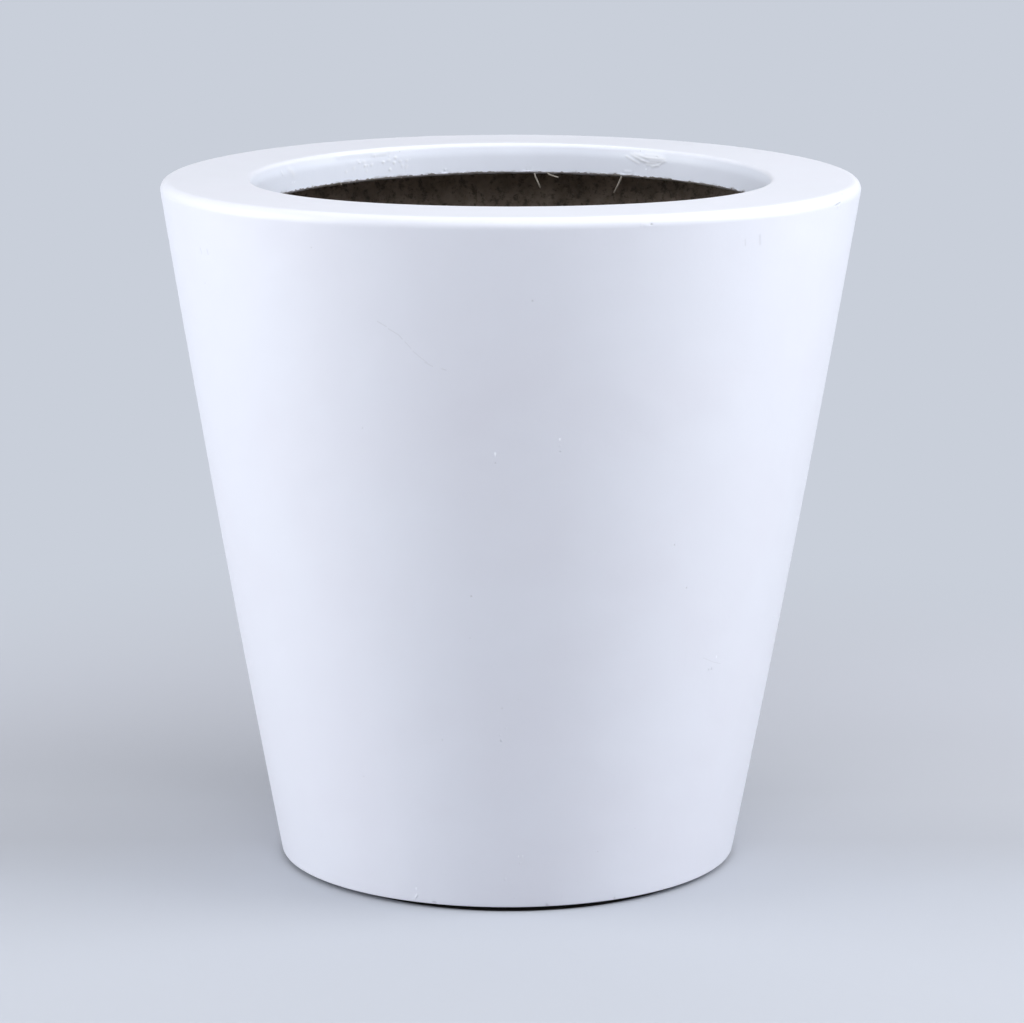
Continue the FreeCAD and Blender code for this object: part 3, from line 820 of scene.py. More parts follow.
def white_gelcoat(finish, form):
    """Polyester gelcoat and enamel, sprayed: white with a blue cast, satin, faint orange peel."""
    material, tree, place = new_material("White gelcoat, sprayed")
    clouds = add_node(tree, "ShaderNodeTexNoise", {
        "Vector": place, "Scale": 1 / 0.11, "Detail": 2.0}).outputs[0]
    thin = add_node(tree, "ShaderNodeMapRange", {
        "Value": clouds, "From Min": 0.4, "From Max": 0.75}).outputs[0]
    # Painted light: the lip inside the mouth is drawn whiter and bluer than the wall, though its coat is the
    # same
    level = add_node(tree, "ShaderNodeVectorMath", {
        0: place, 1: (1.0, 1.0, 0.0)}, operation="MULTIPLY").outputs[0]
    out = add_node(tree, "ShaderNodeVectorMath", {0: level}, operation="LENGTH").outputs["Value"]
    near_mouth = add_node(tree, "ShaderNodeMapRange", {
        "Value": out, "From Min": form.mouth_radius + 1.5 * MM, "From Max": form.mouth_radius}).outputs[0]
    rise = add_node(tree, "ShaderNodeSeparateXYZ", {0: place}).outputs["Z"]
    high = add_node(tree, "ShaderNodeMath", {
        0: rise, 1: form.rim_height / 2}, operation="GREATER_THAN").outputs[0]
    painted_light_on_lip = add_node(tree, "ShaderNodeMath", {0: near_mouth, 1: high}, operation="MULTIPLY").outputs[0]
    # Below zero the mark is drawn whiter: on the lip's touch-up this is partly its fresh coat and partly
    # painted highlight, and on the gathered coat and the nibs of the lip it is painted highlight
    marks = add_node(tree, "ShaderNodeAttribute", attribute_name="mark").outputs["Fac"]
    fresh = add_node(tree, "ShaderNodeMath", {
        0: marks, 1: -1.0}, operation="MULTIPLY", use_clamp=True).outputs[0]
    # Pinholes where air came out of the coat, 0.8 mm across and on the whole 180 mm apart
    cells = add_node(tree, "ShaderNodeTexVoronoi", {"Vector": place, "Scale": 1 / 0.03}).outputs["Distance"]
    pinhole = add_node(tree, "ShaderNodeMapRange", {
        "Value": cells, "From Min": 0.010, "From Max": 0.018, "To Min": 0.55, "To Max": 0.0}).outputs[0]
    marked = add_node(tree, "ShaderNodeMath", {0: pinhole, 1: marks}, operation="MAXIMUM").outputs[0]
    # The coat fades to grey where it ran out at the lip's lower edge
    edge = add_node(tree, "ShaderNodeAttribute", attribute_name="rag").outputs["Fac"]
    spray = add_node(tree, "ShaderNodeTexNoise", {
        "Vector": place, "Scale": 1 / 0.009, "Detail": 3.0}).outputs[0]
    faded = add_node(tree, "ShaderNodeMath", {0: edge, 1: spray}, operation="MULTIPLY").outputs[0]
    fade = add_node(tree, "ShaderNodeMapRange", {
        "Value": faded, "From Min": 0.36, "From Max": 0.62, "To Max": 0.75}).outputs[0]
    grey = add_node(tree, "ShaderNodeMath", {0: marked, 1: fade}, operation="MAXIMUM").outputs[0]
    colour = tinted(tree, finish.gelcoat, [
        (thin, finish.gelcoat_shade), (painted_light_on_lip, finish.gelcoat_lip_painted_light), (fresh, finish.touch_up_and_highlight),
        (grey, finish.grime)])
    # Flats of about 40 mm from sanding by hand, which break up the highlight along the rim; the glass strands
    # that print through at about 12 mm; orange peel of about 3 mm. Each has a size, detail, share and depth
    relief = {}
    for size, detail, strength, depth in (
            (40 * MM, 1.0, 0.6, 1.2 * MM), (12 * MM, 3.0, 0.5, 0.22 * MM), (3.5 * MM, 2.0, 0.5, 0.05 * MM)):
        noise = add_node(tree, "ShaderNodeTexNoise", {
            "Vector": place, "Scale": 1 / size, "Detail": detail}).outputs[0]
        relief["Normal"] = add_node(tree, "ShaderNodeBump", {
            "Strength": strength, "Distance": depth, "Height": noise, **relief}).outputs[0]
    sheen = add_node(tree, "ShaderNodeMapRange", {
        "Value": clouds, "From Min": 0.3, "From Max": 0.7, "To Min": 0.36, "To Max": 0.42}).outputs[0]
    shader = add_node(tree, "ShaderNodeBsdfPrincipled", {
        "Base Color": colour, "Roughness": sheen, "IOR": 1.5, **relief})
    finish_material(tree, shader)
    return material


def raw_laminate(finish, name, pale, dark):
    """Chopped-strand mat wetted out with brown resin and left as rolled: dull, mottled, strands showing."""
    material, tree, place = new_material(name)
    wrap = add_node(tree, "ShaderNodeUVMap", uv_map="UVMap").outputs[0]
    pools = add_node(tree, "ShaderNodeTexNoise", {
        "Vector": place, "Scale": 1 / 0.03, "Detail": 5.0, "Roughness": 0.6}).outputs[0]
    rich = add_node(tree, "ShaderNodeMapRange", {
        "Value": pools, "From Min": 0.38, "From Max": 0.64}).outputs[0]
    layers = [(rich, dark)]
    height = pools
    # Strands 35 mm long in three directions, drawn 0.9 mm wide so that they show
    for number, turn in enumerate((0.3, 1.4, 2.4)):
        lines = add_node(tree, "ShaderNodeMapping", {
            "Vector": wrap, "Rotation": (0, 0, turn), "Scale": (1 / 0.035, 1 / 0.0009, 1)}).outputs[0]
        strands = add_node(tree, "ShaderNodeTexVoronoi", {
            "Vector": lines, "Scale": 1.0}, voronoi_dimensions="2D").outputs["Color"]
        chosen = add_node(tree, "ShaderNodeSeparateColor", {0: strands}).outputs[number % 3]
        shown = add_node(tree, "ShaderNodeMapRange", {
            "Value": chosen, "From Min": 0.80, "From Max": 1.0, "To Max": 0.34}).outputs[0]
        layers.append((shown, finish.glass))
        height = add_node(tree, "ShaderNodeMath", {0: height, 1: shown}, operation="ADD").outputs[0]
    bump = add_node(tree, "ShaderNodeBump", {
        "Strength": 0.8, "Distance": 0.0006, "Height": height}).outputs[0]
    dull = add_node(tree, "ShaderNodeMapRange", {
        "Value": rich, "To Min": 0.72, "To Max": 0.5}).outputs[0]
    shader = add_node(tree, "ShaderNodeBsdfPrincipled", {
        "Base Color": tinted(tree, pale, layers), "Roughness": dull, "IOR": 1.52, "Normal": bump})
    finish_material(tree, shader)
    return material


def glass_tape(finish):
    """Woven glass tape bedded in the same resin: a square weave of 4 mm shows under a darker, duller skin."""
    material, tree, place = new_material("Glass tape in resin")
    wrap = add_node(tree, "ShaderNodeUVMap", uv_map="UVMap").outputs[0]
    pools = add_node(tree, "ShaderNodeTexNoise", {
        "Vector": place, "Scale": 1 / 0.022, "Detail": 6.0, "Roughness": 0.62}).outputs[0]
    rich = add_node(tree, "ShaderNodeMapRange", {
        "Value": pools, "From Min": 0.36, "From Max": 0.62}).outputs[0]
    lines = add_node(tree, "ShaderNodeMapping", {
        "Vector": wrap, "Scale": (1 / 0.004, 1 / 0.004, 1)}).outputs[0]
    weave = add_node(tree, "ShaderNodeTexChecker", {
        "Vector": lines, "Scale": 1.0, "Color1": (1, 1, 1, 1), "Color2": (0, 0, 0, 1)}).outputs["Fac"]
    faint = add_node(tree, "ShaderNodeMath", {0: weave, 1: rich}, operation="MULTIPLY").outputs[0]
    shown = add_node(tree, "ShaderNodeMath", {0: faint, 1: 0.10}, operation="MULTIPLY").outputs[0]
    # Dark flecks of 3 mm where the weave is starved, pale ones of 1.5 mm where glass stands up
    flecks = add_node(tree, "ShaderNodeTexNoise", {
        "Vector": place, "Scale": 1 / 0.006, "Detail": 4.0, "Roughness": 0.7}).outputs[0]
    starved = add_node(tree, "ShaderNodeMapRange", {
        "Value": flecks, "From Min": 0.50, "From Max": 0.64, "To Max": 0.70}).outputs[0]
    tufts = add_node(tree, "ShaderNodeTexVoronoi", {
        "Vector": place, "Scale": 1 / 0.007}).outputs["Distance"]
    standing = add_node(tree, "ShaderNodeMapRange", {
        "Value": tufts, "From Min": 0.06, "From Max": 0.15, "To Min": 0.45, "To Max": 0.0}).outputs[0]
    # Pits of 2 mm where the roller lifted the resin
    cells = add_node(tree, "ShaderNodeTexVoronoi", {
        "Vector": place, "Scale": 1 / 0.012}).outputs["Distance"]
    pits = add_node(tree, "ShaderNodeMapRange", {
        "Value": cells, "From Min": 0.06, "From Max": 0.16, "To Min": 0.55, "To Max": 0.0}).outputs[0]
    pitted = tinted(tree, finish.laminate, [
        (rich, finish.laminate_dark), (shown, finish.glass), (starved, finish.starved),
        (standing, finish.glass), (pits, finish.laminate_dark)])
    height = add_node(tree, "ShaderNodeMath", {0: pools, 1: shown}, operation="ADD").outputs[0]
    deep = add_node(tree, "ShaderNodeMath", {0: height, 1: pits}, operation="SUBTRACT").outputs[0]
    bump = add_node(tree, "ShaderNodeBump", {
        "Strength": 0.8, "Distance": 0.0008, "Height": deep}).outputs[0]
    shader = add_node(tree, "ShaderNodeBsdfPrincipled", {
        "Base Color": pitted, "Roughness": 0.68, "IOR": 1.52, "Normal": bump})
    finish_material(tree, shader)
    return material


def loose_glass(finish):
    """Cut ends of glass roving that the resin didn't wet: pale grey and silky, bundles of fine hairs."""
    material, tree, place = new_material("Glass strands, dry")
    # Hairs are 0.01 mm thick; they are drawn as streaks of 0.4 mm so that they show
    hairs = add_node(tree, "ShaderNodeTexNoise", {
        "Vector": place, "Scale": 1 / 0.0004, "Detail": 2.0}).outputs[0]
    wet = add_node(tree, "ShaderNodeMapRange", {
        "Value": hairs, "From Min": 0.40, "From Max": 0.65, "To Max": 0.6}).outputs[0]
    colour = tinted(tree, finish.glass, [(wet, finish.laminate)])
    bump = add_node(tree, "ShaderNodeBump", {
        "Strength": 0.4, "Distance": 0.0001, "Height": hairs}).outputs[0]
    shader = add_node(tree, "ShaderNodeBsdfPrincipled", {
        "Base Color": colour, "Roughness": 0.45, "IOR": 1.55, "Normal": bump})
    finish_material(tree, shader)
    return material


def moulded_rubber(finish):
    """Natural rubber, moulded: near black, soft sheen, a fine even grain from the mould."""
    material, tree, place = new_material("Black rubber, moulded")
    grain = add_node(tree, "ShaderNodeTexNoise", {
        "Vector": place, "Scale": 1 / 0.0006, "Detail": 2.0}).outputs[0]
    bloom = add_node(tree, "ShaderNodeTexNoise", {
        "Vector": place, "Scale": 1 / 0.012, "Detail": 4.0}).outputs[0]
    pale = add_node(tree, "ShaderNodeMapRange", {
        "Value": bloom, "From Min": 0.45, "From Max": 0.75, "To Max": 0.12}).outputs[0]
    colour = tinted(tree, finish.rubber, [(pale, finish.glass)])
    bump = add_node(tree, "ShaderNodeBump", {
        "Strength": 0.4, "Distance": 0.0001, "Height": grain}).outputs[0]
    shader = add_node(tree, "ShaderNodeBsdfPrincipled", {
        "Base Color": colour, "Roughness": 0.52, "IOR": 1.5, "Normal": bump})
    finish_material(tree, shader)
    return material


# Operators, one for each piece or group of like pieces, and one for the stage


class PLANTER_OT_finish_coat(bpy.types.Operator):
    """Turn the white coat over the wall, the rim and the lip"""

    bl_idname = "planter.finish_coat"
    bl_label = "Finish coat"

    def execute(self, context):
        form = context.scene.planter_form
        heel_start = form.foot_radius - form.coat_underlap
        outer = outside_line(form, heel_start, 0.0, 12 * MM)
        inner = outside_line(form, heel_start, form.coat_thickness, 40 * MM)
        host = section_host("white_coat", outer, inner, rag_at=outer[-1])
        values = {**form_values(context.scene), "Lump Height": 0.0}
        turned_piece(host, white_gelcoat(context.scene.planter_finish, form), values,
                     "planter", ["finish_coat"])
        mark_coat(form, blemishes + lip_nibs(context.scene.planter_laminate.seed), host.data)
        return {"FINISHED"}


class PLANTER_OT_laminate(bpy.types.Operator):
    """Turn the raw laminate of the wall, the rim ring and the bottom disc"""

    bl_idname = "planter.laminate"
    bl_label = "Raw laminate"

    def execute(self, context):
        scene = context.scene
        form = scene.planter_form
        finish = scene.planter_finish
        material = raw_laminate(finish, "Raw chopped-strand laminate", finish.laminate, finish.laminate_dark)
        heel_start = form.foot_radius - form.heel_width
        skin = form.coat_thickness + form.laminate_thickness
        outer = outside_line(form, heel_start, form.coat_thickness, 30 * MM)
        inner = with_rows(moved_in(square_outside(form, heel_start), skin), 7 * MM)
        wall_outer, rim_outer = cut_at(outer, form.joint_height)
        wall_inner, rim_inner = cut_at(inner, form.joint_height)
        values = form_values(scene)
        wall = section_host("wall_laminate", wall_outer, wall_inner)
        turned_piece(wall, material, values, "planter", ["wall_shell"])
        ring = section_host("rim_laminate", rim_outer, rim_inner)
        turned_piece(ring, material, values, "planter", ["rim_ring"])
        under, over = [
            with_rows([at(DRAIN_RADIUS, face), at(wall_inside(form, face), face)], spacing)
            for face, spacing in ((disc_low.z, 30 * MM), (disc_high.z, 6 * MM))]
        disc = section_host("bottom_laminate", under, over)
        turned_piece(disc, material, form_values(scene, lean=False), "planter", ["base_disc"])
        return {"FINISHED"}


class PLANTER_OT_lip_fringe(bpy.types.Operator):
    """Turn the uneven bead of resin that the trimmed lip ends in"""

    bl_idname = "planter.lip_fringe"
    bl_label = "Resin fringe of the lip"

    def execute(self, context):
        scene = context.scene
        form = scene.planter_form
        corner = square_outside(form, 0.0)[-1]
        behind = [corner + at(1.0 * MM, 1.8 * MM), corner + at(3.4 * MM, 1.6 * MM)]
        bead = [corner + at(out * MM, up * MM) for out, up in (
            (0.35, 1.5), (0.0, 0.5), (0.05, -0.5), (0.5, -1.3),
            (1.4, -1.7), (2.6, -1.5), (3.6, -0.8), (4.1, 0.3))]
        host = section_host("lip_resin_fringe", behind, bead)
        values = {**form_values(scene), "Columns": 1200, "Lump Height": 0.75 * MM, "Lump Size": 5 * MM}
        finish = scene.planter_finish
        material = raw_laminate(finish, "Trimmed laminate with overspray", finish.fringe, finish.fringe_dark)
        turned_piece(host, material, values, "planter", [])
        return {"FINISHED"}


class PLANTER_OT_glass_strands(bpy.types.Operator):
    """Strew strands over the raw inside and hang a few loose ones from the lip"""

    bl_idname = "planter.glass_strands"
    bl_label = "Glass strands"

    def execute(self, context):
        scene = context.scene
        form, rough = scene.planter_form, scene.planter_laminate
        material = loose_glass(scene.planter_finish)
        values = {**form_values(scene), "Strands per Area": rough.strand_density,
                  "Strand Length": rough.strand_length, "Strand Radius": rough.strand_radius,
                  "Strand Seed": rough.seed, "Material": material}
        # A bed for them: four circles up the wall's inside, and two on the bottom
        circles = [(wall_inside(form, height * MM), height * MM) for height in (90, 240, 390, 538)]
        circles += [(148 * MM, disc_high.z), (30 * MM, disc_high.z)]
        turns = [math.tau * step / 72 for step in range(72)]
        bed = bmesh.new()
        rows = [[bed.verts.new((radius * math.cos(turn), radius * math.sin(turn), height)) for turn in turns]
                for radius, height in circles]
        for lower, upper in (*zip(rows[:3], rows[1:4]), rows[4:]):
            for first in range(len(turns)):
                second = (first + 1) % len(turns)
                bed.faces.new((lower[second], lower[first], upper[first], upper[second]))
        strewn = object_from(bed, "inside_glass_strands")
        run_tree(strewn, bpy.data.node_groups["Loose strands"], values)
        work = bmesh.new()
        for path, radius in hanging_strands:
            add_strand(work, path, radius * MM, form.mouth_radius + 0.6 * MM)
        hung = object_from(work, "lip_glass_strands")
        hung.data.shade_smooth()
        hung.data.materials.append(material)
        for piece in (strewn, hung):
            face_outwards(piece.data)
            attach(piece, "planter")
        return {"FINISHED"}


# Strands that hang from the lip's lower edge: their paths, in degrees round the axis and mm above the floor,
# and their thickest radius in mm. Each starts inside the resin fringe
hanging_strands = [
    ([(63.0, 585.0), (63.2, 580.5), (64.0, 573.5), (64.9, 566.3)], 0.95),
    ([(84.4, 584.5), (84.2, 579.0), (83.5, 573.5), (83.0, 568.4)], 0.85),
    ([(81.7, 584.5), (80.9, 581.0), (79.8, 579.6), (78.6, 578.4)], 0.90),
    ([(142.9, 585.0), (142.8, 581.0), (142.6, 578.6)], 0.85),
    ([(140.0, 585.0), (140.0, 581.0), (139.8, 579.8)], 0.60),
    ([(133.4, 584.0), (133.3, 580.0), (133.2, 578.2)], 0.95),
    ([(131.2, 584.0), (131.0, 580.8), (130.8, 579.6)], 0.80),
    ([(129.3, 584.0), (129.1, 581.0), (128.9, 580.0)], 0.75),
    ([(116.8, 584.0), (116.6, 581.0), (116.4, 579.9)], 0.80),
    ([(28.2, 585.0), (28.0, 583.0), (27.7, 581.4)], 1.10),
    ([(10.0, 585.5), (10.8, 580.0), (12.4, 574.5)], 0.70),
    ([(-96.0, 583.5), (-96.6, 578.0), (-97.9, 573.0)], 0.75),
]


def add_strand(work, path, radius, reach, sides=6):
    """A strand along the path, a little nearer the axis with each point, thinning to its end and closed."""
    points = [Matrix.Rotation(math.radians(turn), 4, "Z") @ at(reach - number * 0.4 * MM, rise * MM)
              for number, (turn, rise) in enumerate(path)]
    rings = []
    for number, point in enumerate(points):
        ahead = points[min(number + 1, len(points) - 1)] - points[max(number - 1, 0)]
        turn = ahead.to_track_quat("Z", "X")
        thin = radius * (1 - 0.25 * number / (len(points) - 1))
        rings.append([work.verts.new(point + turn @ Vector((
            thin * math.cos(math.tau * side / sides), thin * math.sin(math.tau * side / sides), 0)))
            for side in range(sides)])
    for lower, upper in zip(rings, rings[1:]):
        for first in range(sides):
            second = (first + 1) % sides
            work.faces.new((lower[first], lower[second], upper[second], upper[first]))
    work.faces.new(rings[0][::-1])
    work.faces.new(rings[-1])


class PLANTER_OT_tapes(bpy.types.Operator):
    """Turn the two glass tapes that cover the inside joints"""

    bl_idname = "planter.tapes"
    bl_label = "Glass tapes"

    def execute(self, context):
        scene = context.scene
        form, rough = scene.planter_form, scene.planter_laminate
        material = glass_tape(scene.planter_finish)
        values = form_values(scene)
        rim_tape_low, rim_tape_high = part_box("rim_joint_tape")
        base_tape_low, base_tape_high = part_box("base_joint_tape")
        rim_corner = at(wall_inside(form, rim_tape_high.z), rim_tape_high.z)
        base_corner = at(wall_inside(form, base_tape_low.z), base_tape_low.z)
        for name, node, corners in (
                ("rim_glass_tape", "rim_joint_tape", [
                    at(wall_inside(form, rim_tape_low.z), rim_tape_low.z),
                    rim_corner,
                    rim_corner - at(RIM_TAPE_REACH, 0)]),
                ("base_glass_tape", "base_joint_tape", [
                    base_corner - at(BASE_TAPE_REACH, 0),
                    base_corner,
                    at(wall_inside(form, base_tape_high.z), base_tape_high.z)])):
            back = with_rows(corners, 30 * MM)
            face = rounded(moved_in(corners, rough.tape_thickness), [rough.cove_radius])
            # The tape thins to its edges
            face[0] = corners[0].lerp(face[0], 0.45)
            face[-1] = corners[-1].lerp(face[-1], 0.45)
            host = section_host(name, back, with_rows(face, 5 * MM))
            turned_piece(host, material, values, "planter", [node])
        return {"FINISHED"}


class PLANTER_OT_stopper(bpy.types.Operator):
    """Turn the rubber stopper of the drain and stand its holed tab on it"""

    bl_idname = "planter.stopper"
    bl_label = "Drain stopper"

    def execute(self, context):
        scene = context.scene
        material = moulded_rubber(scene.planter_finish)
        head_radius = stopper_high.x
        head_top = disc_high.z + HEAD_HEIGHT
        corners = [at(0, stopper_low.z), at(STEM_RADIUS, stopper_low.z), at(STEM_RADIUS, disc_high.z),
                   at(head_radius, disc_high.z), at(head_radius, head_top), at(0, head_top)]
        line = rounded(corners, [1.2 * MM, 0.3 * MM, 0.3 * MM, 1.2 * MM], steps=5)
        plug = section_host("rubber_stopper", line, [at(0, (stopper_low.z + head_top) / 2)])
        still = {**form_values(scene, lean=False), "Columns": 96, "Ripple": 0.0, "Lump Height": 0.0}
        run_tree(plug, bpy.data.node_groups["Turned layer"], {**still, "Material": material})
        work = bmesh.new()
        work.from_mesh(plug.data)
        add_tab(work, head_top, stopper_high.z)
        bmesh.ops.recalc_face_normals(work, faces=work.faces)
        work.to_mesh(plug.data)
        work.free()
        plug.data.set_sharp_from_angle(angle=SHARP)
        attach(plug, "stopper")
        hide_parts("drain_stopper")
        return {"FINISHED"}


def add_tab(work, foot, top):
    """A flat tab with a round end and a hole to hook a finger or a wire in."""
    half_width, half_thickness, eye = 9 * MM, 2.5 * MM, 3.5 * MM
    bow = top - half_width
    arc = [math.pi * step / 20 for step in range(21)]
    outside = [(half_width * math.cos(a), bow + half_width * math.sin(a)) for a in arc]
    outside = [(half_width, foot - 0.5 * MM)] + outside + [(-half_width, foot - 0.5 * MM)]
    hole = [(eye * math.cos(math.tau * step / 32), bow + eye * math.sin(math.tau * step / 32))
            for step in range(32)]
    loops = []
    for points in (outside, hole):
        verts = [work.verts.new((x, -half_thickness, z)) for x, z in points]
        loops += [work.edges.new(pair) for pair in zip(verts, verts[1:] + verts[:1])]
    flat = bmesh.ops.triangle_fill(work, use_beauty=True, use_dissolve=True, edges=loops)
    faces = [item for item in flat["geom"] if isinstance(item, bmesh.types.BMFace)]
    raised = bmesh.ops.extrude_face_region(work, geom=faces)
    verts = [item for item in raised["geom"] if isinstance(item, bmesh.types.BMVert)]
    bmesh.ops.translate(work, verts=verts, vec=(0, 2 * half_thickness, 0))


class PLANTER_OT_foot_pads(bpy.types.Operator):
    """Cut the four rubber pads under the heel"""

    bl_idname = "planter.foot_pads"
    bl_label = "Foot pads"

    def execute(self, context):
        material = moulded_rubber(context.scene.planter_finish)
        for node in pad_nodes:
            low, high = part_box(node)
            middle = (low + high) / 2
            angle = math.atan2(middle.y, middle.x)
            work = bmesh.new()
            bmesh.ops.create_cube(work, size=1.0)
            bmesh.ops.scale(work, vec=(PAD_SIDE, PAD_SIDE, high.z - low.z), verts=work.verts)
            upright = [edge for edge in work.edges if abs(edge.verts[0].co.z - edge.verts[1].co.z) > MM]
            bmesh.ops.bevel(work, geom=upright, offset=2 * MM, segments=5, profile=0.5, affect="EDGES")
            level = [edge for edge in work.edges
                     if len(edge.link_faces) == 2 and edge.calc_face_angle(0) > math.radians(60)]
            bmesh.ops.bevel(work, geom=level, offset=0.5 * MM, segments=3, profile=0.5, affect="EDGES")
            work.transform(Matrix.Translation(middle) @ Matrix.Rotation(angle, 4, "Z"))
            pad = object_from(work, "rubber_" + node)
            pad.data.shade_smooth()
            pad.data.set_sharp_from_angle(angle=SHARP)
            pad.data.materials.append(material)
            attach(pad, "planter")
            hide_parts(node)
        return {"FINISHED"}


# Each light's name, its place, the point that it faces, its width and height, and its property
lights = [
    ("Left light", (-2.4, -0.35, 0.95), (0, 0, 0.45), (2.0, 1.9), "left_power"),
    ("Right light", (2.2, -0.6, 1.9), (0, 0, 0.5), (1.6, 1.4), "right_power"),
    ("Low light", (2.4, -0.1, 0.8), (0, 0, 0.35), (1.6, 1.5), "low_power"),
    ("Back light", (0, 1.0, 2.6), (0, 0, 0.6), (2.4, 1.6), "back_power"),
    ("Top light", (0.5, -1.2, 2.8), (0, 0, 0.5), (2.8, 2.4), "top_power"),
    ("Front light", (0, -3.9, 2.9), (0, 0, 0.3), (3.0, 2.0), "front_power"),
]


class PLANTER_OT_stage(bpy.types.Operator):
    """Set up the floor, the lights and the camera"""

    bl_idname = "planter.stage"
    bl_label = "Stage"

    def execute(self, context):
        scene = context.scene
        studio = scene.planter_studio
        scene.view_settings.view_transform = "Standard"
        add_floor()
        for name, place, target, size, power in lights:
            add_light(name, place, target, size, getattr(studio, power))
        world = bpy.data.worlds.new("Even light")
        scene.world = world
        world.use_nodes = True
        tree = world.node_tree
        tree.nodes.clear()
        even = add_node(tree, "ShaderNodeBackground", {
            "Color": linear("#FFFFFF"), "Strength": studio.ambient}).outputs[0]
        seen = add_node(tree, "ShaderNodeBackground", {
            "Color": linear("#C9D0DA"), "Strength": 1.0}).outputs[0]
        path = add_node(tree, "ShaderNodeLightPath").outputs["Is Camera Ray"]
        mixed = add_node(tree, "ShaderNodeMixShader", {0: path, 1: even, 2: seen}).outputs[0]
        add_node(tree, "ShaderNodeOutputWorld", {"Surface": mixed})
        add_camera(scene, studio)
        return {"FINISHED"}


def add_floor():
    """A wide sheet of pale paper under the planter."""
    half = 14.0
    mesh = bpy.data.meshes.new("studio_floor")
    mesh.from_pydata([(-half, -half, 0), (half, -half, 0), (half, half, 0), (-half, half, 0)],
                     [], [(0, 1, 2, 3)])
    floor = new_object("studio_floor", mesh)
    material, tree, place = new_material("Paper floor, matt")
    # Its tone from front to back: metres behind the axis, and the colour there. The darker band just beside the
    # planter is painted shade
    span = 1.0
    depth = add_node(tree, "ShaderNodeSeparateXYZ", {0: place}).outputs["Y"]
    share = add_node(tree, "ShaderNodeMapRange", {
        "Value": depth, "From Min": -span, "From Max": span}).outputs[0]
    ramp = add_node(tree, "ShaderNodeValToRGB", {0: share})
    stops = ((-0.28, "#B9BEC8"), (-0.12, "#B7BCC6"), (0.02, "#B3B7C0"), (0.15, "#B9BDC6"),
             (0.38, "#B9BDC7"), (0.62, "#BDC1CC"), (0.95, "#C2C6D1"))
    while len(ramp.color_ramp.elements) < len(stops):
        ramp.color_ramp.elements.new(0.5)
    for element, (reach, colour) in zip(ramp.color_ramp.elements, stops):
        element.position = (reach + span) / (2 * span)
        element.color = linear(colour)
    fibre = add_node(tree, "ShaderNodeTexNoise", {
        "Vector": place, "Scale": 1 / 0.002, "Detail": 2.0}).outputs[0]
    bump = add_node(tree, "ShaderNodeBump", {
        "Strength": 0.1, "Distance": 0.0001, "Height": fibre}).outputs[0]
    rays = add_node(tree, "ShaderNodeLightPath").outputs
    seen = add_node(tree, "ShaderNodeMath", {
        0: rays["Is Camera Ray"], 1: rays["Is Glossy Ray"]}, operation="ADD").outputs[0]
    # The paper is pale to the eye, and throws little light up under the planter
    tone = add_node(tree, "ShaderNodeMix", {
        "Factor": seen, 6: linear("#A6A8AE"), 7: ramp.outputs[0]}, data_type="RGBA").outputs[2]
    # Painted shadow: the paper is drawn dark where the planter stands, in the gap under its heel, less far at
    # the left and right
    squeezed = add_node(tree, "ShaderNodeVectorMath", {
        0: place, 1: (1.09, 1.0, 1.0)}, operation="MULTIPLY").outputs[0]
    under = add_node(tree, "ShaderNodeVectorMath", {0: squeezed}, operation="LENGTH").outputs["Value"]
    painted_shadow = add_node(tree, "ShaderNodeMapRange", {
        "Value": under, "From Min": 0.1985, "From Max": 0.2005}).outputs[0]
    shade = add_node(tree, "ShaderNodeMix", {
        "Factor": painted_shadow, 6: linear("#2A2722"), 7: tone}, data_type="RGBA").outputs[2]
    lit = add_node(tree, "ShaderNodeBsdfPrincipled", {
        "Base Color": shade, "Roughness": 0.9, "Normal": bump}).outputs[0]
    # Away from the planter the paper is evenly pale to the camera, whatever light reaches it
    apart = add_node(tree, "ShaderNodeVectorMath", {0: place}, operation="LENGTH").outputs["Value"]
    plain = add_node(tree, "ShaderNodeEmission", {"Color": linear("#C9CFDA"), "Strength": 1.0}).outputs[0]
    away = add_node(tree, "ShaderNodeMapRange", {
        "Value": apart, "From Min": 0.55, "From Max": 1.3}, interpolation_type="SMOOTHSTEP").outputs[0]
    share = add_node(tree, "ShaderNodeMath", {0: away, 1: seen}, operation="MULTIPLY").outputs[0]
    finish_material(tree, add_node(tree, "ShaderNodeMixShader", {0: share, 1: lit, 2: plain}))
    mesh.materials.append(material)


def add_light(name, place, target, size, power):
    """A large rectangular light that faces the target."""
    lamp = bpy.data.lights.new(name, "AREA")
    lamp.shape = "RECTANGLE"
    lamp.size, lamp.size_y = size
    lamp.energy = power
    light = new_object(name, lamp)
    light.location = place
    light.rotation_euler = (Vector(target) - Vector(place)).to_track_quat("-Z", "Y").to_euler()


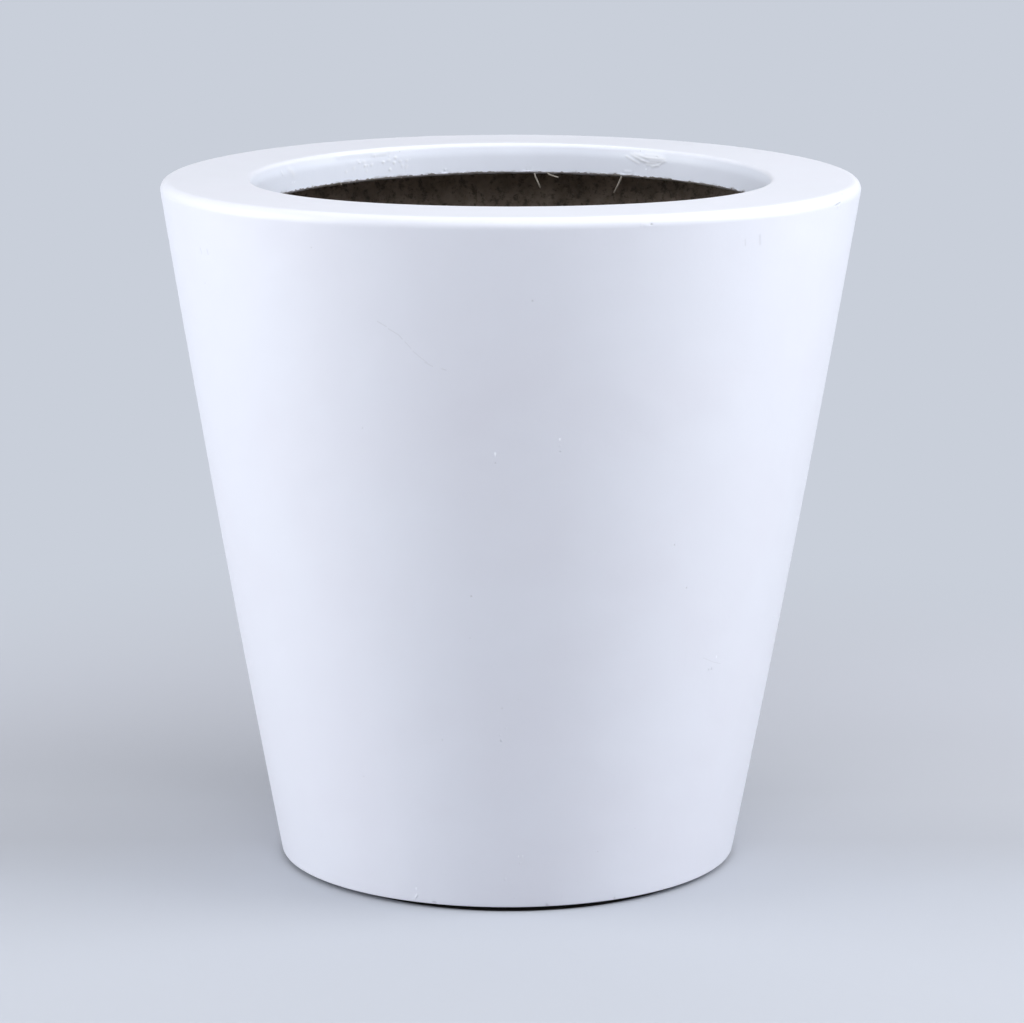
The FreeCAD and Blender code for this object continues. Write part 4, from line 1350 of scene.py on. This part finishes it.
def add_camera(scene, studio):
    """The camera, fitted to the photograph's outline of the rim, the mouth, the lip and the foot."""
    lens = bpy.data.cameras.new("Camera")
    lens.sensor_width = 36.0
    lens.lens = studio.lens
    lens.clip_start, lens.clip_end = 0.05, 60.0
    camera = new_object("Camera", lens)
    turn = (Matrix.Rotation(-studio.camera_pan, 4, "Z")
            @ Matrix.Rotation(math.pi / 2 - studio.camera_tilt, 4, "X")
            @ Matrix.Rotation(studio.camera_roll, 4, "Z"))
    place = Vector((-studio.camera_aside, -studio.camera_distance, studio.camera_height))
    camera.matrix_world = Matrix.Translation(place) @ turn
    scene.camera = camera


class PLANTER_PT_pieces(bpy.types.Panel):
    """Lists the planter's operators and sizes in the sidebar"""

    bl_idname = "PLANTER_PT_pieces"
    bl_label = "Laid-up planter"
    bl_space_type = "VIEW_3D"
    bl_region_type = "UI"
    bl_category = "Planter"

    def draw(self, context):
        for operator in operators:
            self.layout.operator(operator.bl_idname)
        for group in (context.scene.planter_form, context.scene.planter_laminate,
                      context.scene.planter_finish, context.scene.planter_studio):
            box = self.layout.box()
            for name in group.bl_rna.properties.keys():
                if name not in ("rna_type", "name"):
                    box.prop(group, name)


operators = [
    PLANTER_OT_finish_coat, PLANTER_OT_laminate, PLANTER_OT_lip_fringe, PLANTER_OT_glass_strands,
    PLANTER_OT_tapes, PLANTER_OT_stopper, PLANTER_OT_foot_pads, PLANTER_OT_stage,
]
groups = {
    "planter_form": PlanterForm,
    "planter_laminate": PlanterLaminate,
    "planter_finish": PlanterFinish,
    "planter_studio": PlanterStudio,
}


def register():
    for kind in [*groups.values(), *operators, PLANTER_PT_pieces]:
        bpy.utils.register_class(kind)
    for name, kind in groups.items():
        setattr(bpy.types.Scene, name, PointerProperty(type=kind))


def unregister():
    for name in groups:
        delattr(bpy.types.Scene, name)
    for kind in [PLANTER_PT_pieces, *operators[::-1], *groups.values()]:
        bpy.utils.unregister_class(kind)


def main():
    register()
    hand_laid_form()
    turned_layer()
    loose_strands()
    bpy.ops.planter.finish_coat()
    bpy.ops.planter.laminate()
    bpy.ops.planter.lip_fringe()
    bpy.ops.planter.glass_strands()
    bpy.ops.planter.tapes()
    bpy.ops.planter.stopper()
    bpy.ops.planter.foot_pads()
    bpy.ops.planter.stage()


if __name__ == "__main__":
    main()
